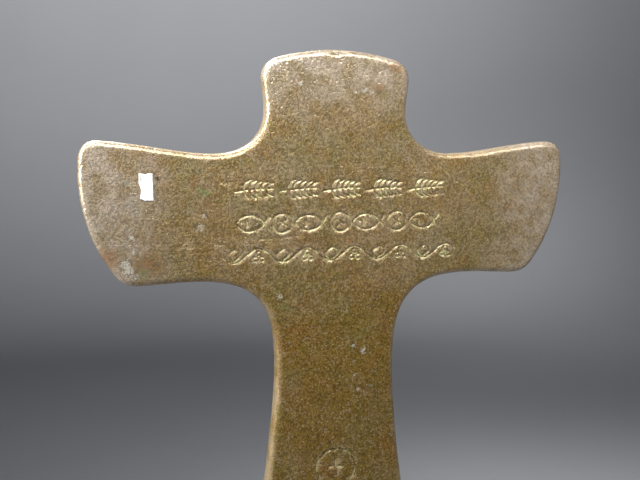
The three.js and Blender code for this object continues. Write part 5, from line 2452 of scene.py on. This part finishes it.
@dataclass
class Fixings:
    """The stud, washers, nut and dowels that hold the cross on its plinth."""

    thread_pitch: float = 0.8
    thread_depth: float = 0.42
    sides: int = 48

    def stud(self) -> Piece:
        """A stud with a thread running up it."""
        low, high = node_box("threaded_stud")
        radius = (high[0] - low[0]) / 2
        levels = np.linspace(low[2], high[2], 260)
        turn = 2 * np.pi * np.arange(self.sides) / self.sides
        rows = []
        for z in levels:
            phase = (z / self.thread_pitch - turn / (2 * np.pi)) % 1.0
            tooth = np.clip(1.35 * (1 - np.abs(2 * phase - 1)) - 0.12, 0, 1)
            end = min(z - low[2], high[2] - z)
            ring = radius - self.thread_depth * (1 - tooth) - max(0.0, 0.5 - end)
            rows.append(np.column_stack([ring * np.cos(turn), ring * np.sin(turn), np.full(self.sides, z)]))
        ends = np.array([[0, 0, low[2]], [0, 0, high[2]]])
        stud = build("stud_turned", np.vstack(rows + [ends]), rings_to_faces(len(rows), self.sides, True))
        return mark_wear(stud, 3, 3.0)

    def washer(self) -> Piece:
        """The flat washer, stamped, with soft edges."""
        low, high = node_box("flat_washer")
        outer, inner, soft = (high[0] - low[0]) / 2, 2.8, 0.12
        profile = np.array(
            [
                (inner, low[2] + soft),
                (inner + soft * 0.4, low[2]),
                (outer - soft * 1.2, low[2]),
                (outer - soft * 0.3, low[2] + soft * 0.4),
                (outer, low[2] + soft * 1.4),
                (outer, high[2] - soft),
                (outer - soft, high[2]),
                (inner + soft, high[2]),
                (inner, high[2] - soft),
            ]
        )
        return mark_wear(turned("flat_washer_stamped", profile, 96, hollow=True), 2, 3.0)

    def spring(self) -> Piece:
        """The split spring washer, wound so that its ends stand a little apart."""
        low, high = node_box("spring_washer")
        outer, inner = (high[0] - low[0]) / 2 - 0.02, 2.85
        thick = (high[2] - low[2]) * 0.78
        gap = math.radians(13)
        turn = np.linspace(gap / 2, 2 * np.pi - gap / 2, 90)
        soft = 0.14
        shape = [(inner + soft, 0), (outer - soft, 0), (outer, soft), (outer, thick - soft)]
        shape += [(outer - soft, thick), (inner + soft, thick), (inner, thick - soft), (inner, soft)]
        lift = (high[2] - low[2] - thick) * np.linspace(0, 1, len(turn))
        rows = []
        for angle, up in zip(turn, lift):
            rows.append([(r * math.cos(angle), r * math.sin(angle), low[2] + up + z) for r, z in shape])
        middles = [np.mean(rows[0], axis=0), np.mean(rows[-1], axis=0)]
        points = np.vstack([np.array(rows).reshape(-1, 3), middles])
        wound = build("spring_washer_wound", points, rings_to_faces(len(rows), len(shape), True))
        return mark_wear(wound, 2, 3.0)

    def nut(self) -> Piece:
        """The hexagon nut: flats, corners rounded off by the chamfer, and a countersunk bore."""
        low, high = node_box("hex_nut")
        flats, bore = 4.0, 2.55
        turn = 2 * np.pi * np.arange(144) / 144
        nearest = (turn + np.pi / 6) % (np.pi / 3) - np.pi / 6
        hexagon = flats / np.cos(nearest)
        rows = []
        tall = high[2] - low[2]
        chamfer = ((0.0, 0.75), (0.18, 0.32), (0.36, 0.06), (0.5, 0.0))
        for z, inset in (*chamfer, *((tall - z, inset) for z, inset in reversed(chamfer))):
            rows.append((np.minimum(hexagon, flats * 1.1547 - inset), low[2] + z))
        for r, z in ((bore + 0.4, tall), (bore, tall - 0.35), (bore, 0.35), (bore + 0.4, 0.0)):
            rows.append((np.full(144, r), low[2] + z))
        rings = [np.column_stack([r * np.cos(turn), r * np.sin(turn), np.full(144, z)]) for r, z in rows]
        rings.append(rings[0])
        nut = build("hex_nut_turned", np.vstack(rings), rings_to_faces(len(rings), 144, False))
        return mark_wear(nut, 3, 3.0)

    def dowel(self, node: str) -> Piece:
        """A ground dowel pin with chamfered ends.

        Args:
            node: The part of the frame that it stands for.
        """
        low, high = node_box(node)
        radius, middle = (high[0] - low[0]) / 2, ((low[0] + high[0]) / 2, 0.0)
        rows = [(radius - 0.42, low[2]), (radius - 0.34, low[2] + 0.03), (radius - 0.03, low[2] + 0.38)]
        rows += [(radius, low[2] + 0.46)] + [(radius, z) for z in np.linspace(low[2] + 1, high[2] - 1, 24)]
        rows += [(radius, high[2] - 0.46), (radius - 0.03, high[2] - 0.38), (radius - 0.34, high[2] - 0.03)]
        rows.append((radius - 0.42, high[2]))
        return mark_wear(turned(node + "_ground", np.array(rows), 64, middle), 2, 3.0)


@dataclass
class FeltSole:
    """The felt under the plinth, with the loose fibres of its face and edge."""

    margin: float = 3.2
    bottom: float = 0.12
    top: float = 1.5
    squareness: float = 4.0
    sides: int = 420
    fibre_length: float = 0.5
    fibre_radius: float = 0.026
    density: float = 3.3e6

    def make(self, material: bpy.types.Material) -> tuple[Piece, Piece]:
        """Builds the felt.

        Args:
            material: Its cloth.

        Returns:
            The sole and its fibres.
        """
        half_x, half_y = 40.0 - self.margin, 25.0 - self.margin
        rows = []
        soft = 0.3
        edge = [(soft, self.bottom), (0.1, self.bottom + 0.08), (0.0, self.bottom + soft)]
        edge += [(0.0, self.top - soft), (0.1, self.top - 0.08), (soft, self.top)]
        for inward, z in edge:
            flat = superellipse(half_x - inward, half_y - inward, self.squareness, self.sides)
            rough = 0.05 * lumps(flat, 1.3, z)
            rows.append(np.column_stack([flat * (1 + rough / 30)[:, None], np.full(self.sides, z)]))
        points, faces = [np.vstack(rows)], rings_to_faces(len(rows), self.sides, False)
        offset = self.sides * len(rows)
        for row, z in ((rows[0], self.bottom), (rows[-1], self.top)):
            flat, fill = triangles(row[:, :2], hexagonal(row[:, :2], 0.75, 0.4))
            wave = np.zeros(len(flat))
            middle = flat[self.sides :]
            wave[self.sides :] = 0.035 * lumps(middle, 1.6, z) + 0.02 * lumps(middle, 4.0, z)
            points.append(np.column_stack([flat, z + wave]))
            faces += [tuple(offset + i for i in face) for face in fill]
            offset += len(flat)
        sole = build("felt_sole_cloth", np.vstack(points), faces)
        fuzz = bpy.data.objects.new("felt_sole_fuzz", sole.data.copy())
        bpy.context.scene.collection.objects.link(fuzz)
        self.keep_lower(fuzz)
        t = np.linspace(0, 1, 3)
        curl = np.column_stack([0.12 * np.sin(3 * t), 0.10 * t**2, t]) * self.fibre_length
        fibre = tube("fibre", curl, self.fibre_radius * np.array([1, 0.85, 0.35]), 3)
        grow(
            fuzz,
            fibres_tree(),
            Shape=fibre,
            Density=self.density,
            Least_size=0.12,
            Greatest_size=0.34,
            Seed=6,
            Material=material,
        )
        discard(fibre)
        return sole, fuzz

    def keep_lower(self, piece: Piece) -> None:
        """Keeps only the faces of the underside and the edge, for the fibres to stand on."""
        form = bmesh.new()
        form.from_mesh(piece.data)
        high = 1.0 * MM
        upper = [face for face in form.faces if face.normal.z > 0.3 or face.calc_center_median().z > high]
        bmesh.ops.delete(form, geom=upper, context="FACES")
        form.to_mesh(piece.data)
        form.free()


@dataclass
class PriceLabel:
    """The last scrap of a paper price label, torn all round and lifting at one corner."""

    corners: tuple[tuple[float, float], ...] = (
        (1.45, 3.0),
        (0.6, 2.75),
        (-1.4, 2.9),
        (-1.5, -2.9),
        (0.2, -3.0),
        (1.3, -2.4),
        (0.95, -0.6),
        (1.5, 0.8),
    )
    middle: tuple[float, float] = (42.2, 29.9)
    thick: float = 0.10

    def make(self, cross: CrossCasting) -> Piece:
        """Builds the scrap on the plate.

        Args:
            cross: The cross that it sticks to.
        """
        rim = spaced(np.array(self.corners + self.corners[:1]), 0.09)[:-1]
        torn = 0.09 * lumps(rim, 0.45, 3.0) + 0.05 * lumps(rim, 0.16, 8.0)
        rim = rim * (1 + torn / np.linalg.norm(rim, axis=1))[:, None]
        outline = rim + (self.middle[0], height(self.middle[1]))
        flat, fill = triangles(outline, hexagonal(outline, 0.13, 0.06))
        away, _ = cross.edge.find(flat)
        level = cross.surface(flat, away, 1) + 0.035
        local = flat - (self.middle[0], height(self.middle[1]))
        lift = ease(local[:, 0] + 0.35 * local[:, 1], 1.2, 2.6)
        crease = 0.05 * lumps(flat, 0.9, 5.0) * (1 + lift)
        low = level + 0.32 * lift + np.maximum(crease, 0.0)
        thick = np.full(len(flat), self.thick)
        thick[: len(outline)] = 0.03
        return mark_wear(sandwich("price_label_paper", flat, fill, len(outline), low + thick, low), 2, 8.0)


# ---- all together -------------------------------------------------------------------------


class SubAssembly:
    """A group of pieces that are built and dressed together."""

    def dress(self, piece: Piece, material: bpy.types.Material, slot: str, *nodes: str) -> Piece:
        """Gives a piece its material and ties it to the frame.

        Args:
            piece: The piece.
            material: Its material.
            slot: The slot that its finish belongs to. It is not used.
            nodes: The parts of the frame that it stands for.

        Returns:
            The same piece.
        """
        piece.data.materials.clear()
        piece.data.materials.append(material)
        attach(piece, BODY)
        if nodes:
            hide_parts(*nodes)
        LOG.info("%s: %d points, %d faces", piece.name, len(piece.data.vertices), len(piece.data.polygons))
        return piece


@dataclass
class LabelledCross(SubAssembly):
    """The cast cross and the torn label on its back.

    Attributes:
        casting: The cross.
        label: The label.
        bronze: The finish of the cross.
        paper: The finish of the label.
    """

    casting: CrossCasting = field(default_factory=CrossCasting)
    label: PriceLabel = field(default_factory=PriceLabel)
    bronze: CastBronze = CastBronze("bronze_cross", stained=True)
    paper: TornPaper = TornPaper()

    def make(self) -> None:
        """Builds and dresses both."""
        self.dress(self.casting.make(), self.bronze.material(), "cross_bronze", "cross_casting")
        label = self.label.make(self.casting)
        self.dress(label, self.paper.material(), "label_paper", "price_label_scrap")


@dataclass
class FrontCastings(SubAssembly):
    """The small castings on the front.

    Attributes:
        bronze: Their finish.
        fish_depths: How far the two fish lie below the crown.
    """

    bronze: CastBronze = CastBronze(
        "bronze_relief",
        body=(0.400, 0.285, 0.140, 1),
        skin_depth=0.035,
        pits=0.35,
        metallic=0.85,
        gloss=(0.24, 0.38),
    )
    fish_depths: tuple[float, float] = (91.0, 103.0)

    def make(self) -> None:
        """Builds and dresses them all."""
        bronze = self.bronze.material()
        upper, lower = self.fish_depths
        made = {
            "host_disc": HostDisc().make(bronze),
            "chalice_relief": Chalice().make(),
            "wheat_relief": WheatEars().make(bronze),
            "vine_relief": Vine().make(bronze),
            "fish_upper": Fish("fish_upper_cast", upper, 1).make(bronze),
            "fish_lower": Fish("fish_lower_cast", lower, -1).make(bronze),
            "loaf_relief": Loaf().make(),
        }
        for node, piece in made.items():
            self.dress(piece, bronze, "relief_bronze", node)


@dataclass
class Stand(SubAssembly):
    """The plinth, its fixings and its felt.

    Attributes:
        bronze: The finish of the plinth.
        steel: The finish of the fixings.
        wool: The cloth of the felt.
        felt_size: The length and width of the felt's flat piece, in metres. It is not used.
        felt_area: Its area, in square metres. It is not used.
    """

    bronze: CastBronze = CastBronze(
        "bronze_plinth", body=(0.190, 0.138, 0.074, 1), skin_depth=0.055, pits=0.5
    )
    steel: ZincSteel = ZincSteel()
    wool: WoolFelt = WoolFelt()
    felt_size: tuple[float, float] = (0.0736, 0.0436)
    felt_area: float = 0.002975

    def make(self) -> None:
        """Builds and dresses them all."""
        plinth = self.dress(Plinth().make(), self.bronze.material(), "base_bronze", "base_casting")
        self.fix(Fixings(), self.steel.material())
        wool = self.wool.material()
        sole, fuzz = FeltSole().make(wool)
        self.dress(sole, wool, "felt", "felt_sole")
        self.dress(fuzz, wool, "felt")

    def fix(self, fixings: Fixings, steel: bpy.types.Material) -> None:
        """Builds and dresses the fixings that hold the cross on the plinth."""
        made = {
            "threaded_stud": fixings.stud(),
            "flat_washer": fixings.washer(),
            "spring_washer": fixings.spring(),
            "hex_nut": fixings.nut(),
            "dowel_left": fixings.dowel("dowel_left"),
            "dowel_right": fixings.dowel("dowel_right"),
        }
        for node, piece in made.items():
            self.dress(piece, steel, "zinc_steel", node)


def main() -> None:
    """Builds the altar cross and its studio."""
    logging.basicConfig(level=logging.INFO, format="%(name)s: %(message)s")
    Camera().set_up()
    Studio().set_up()
    LabelledCross().make()
    FrontCastings().make()
    Stand().make()


if __name__ == "__main__":
    main()
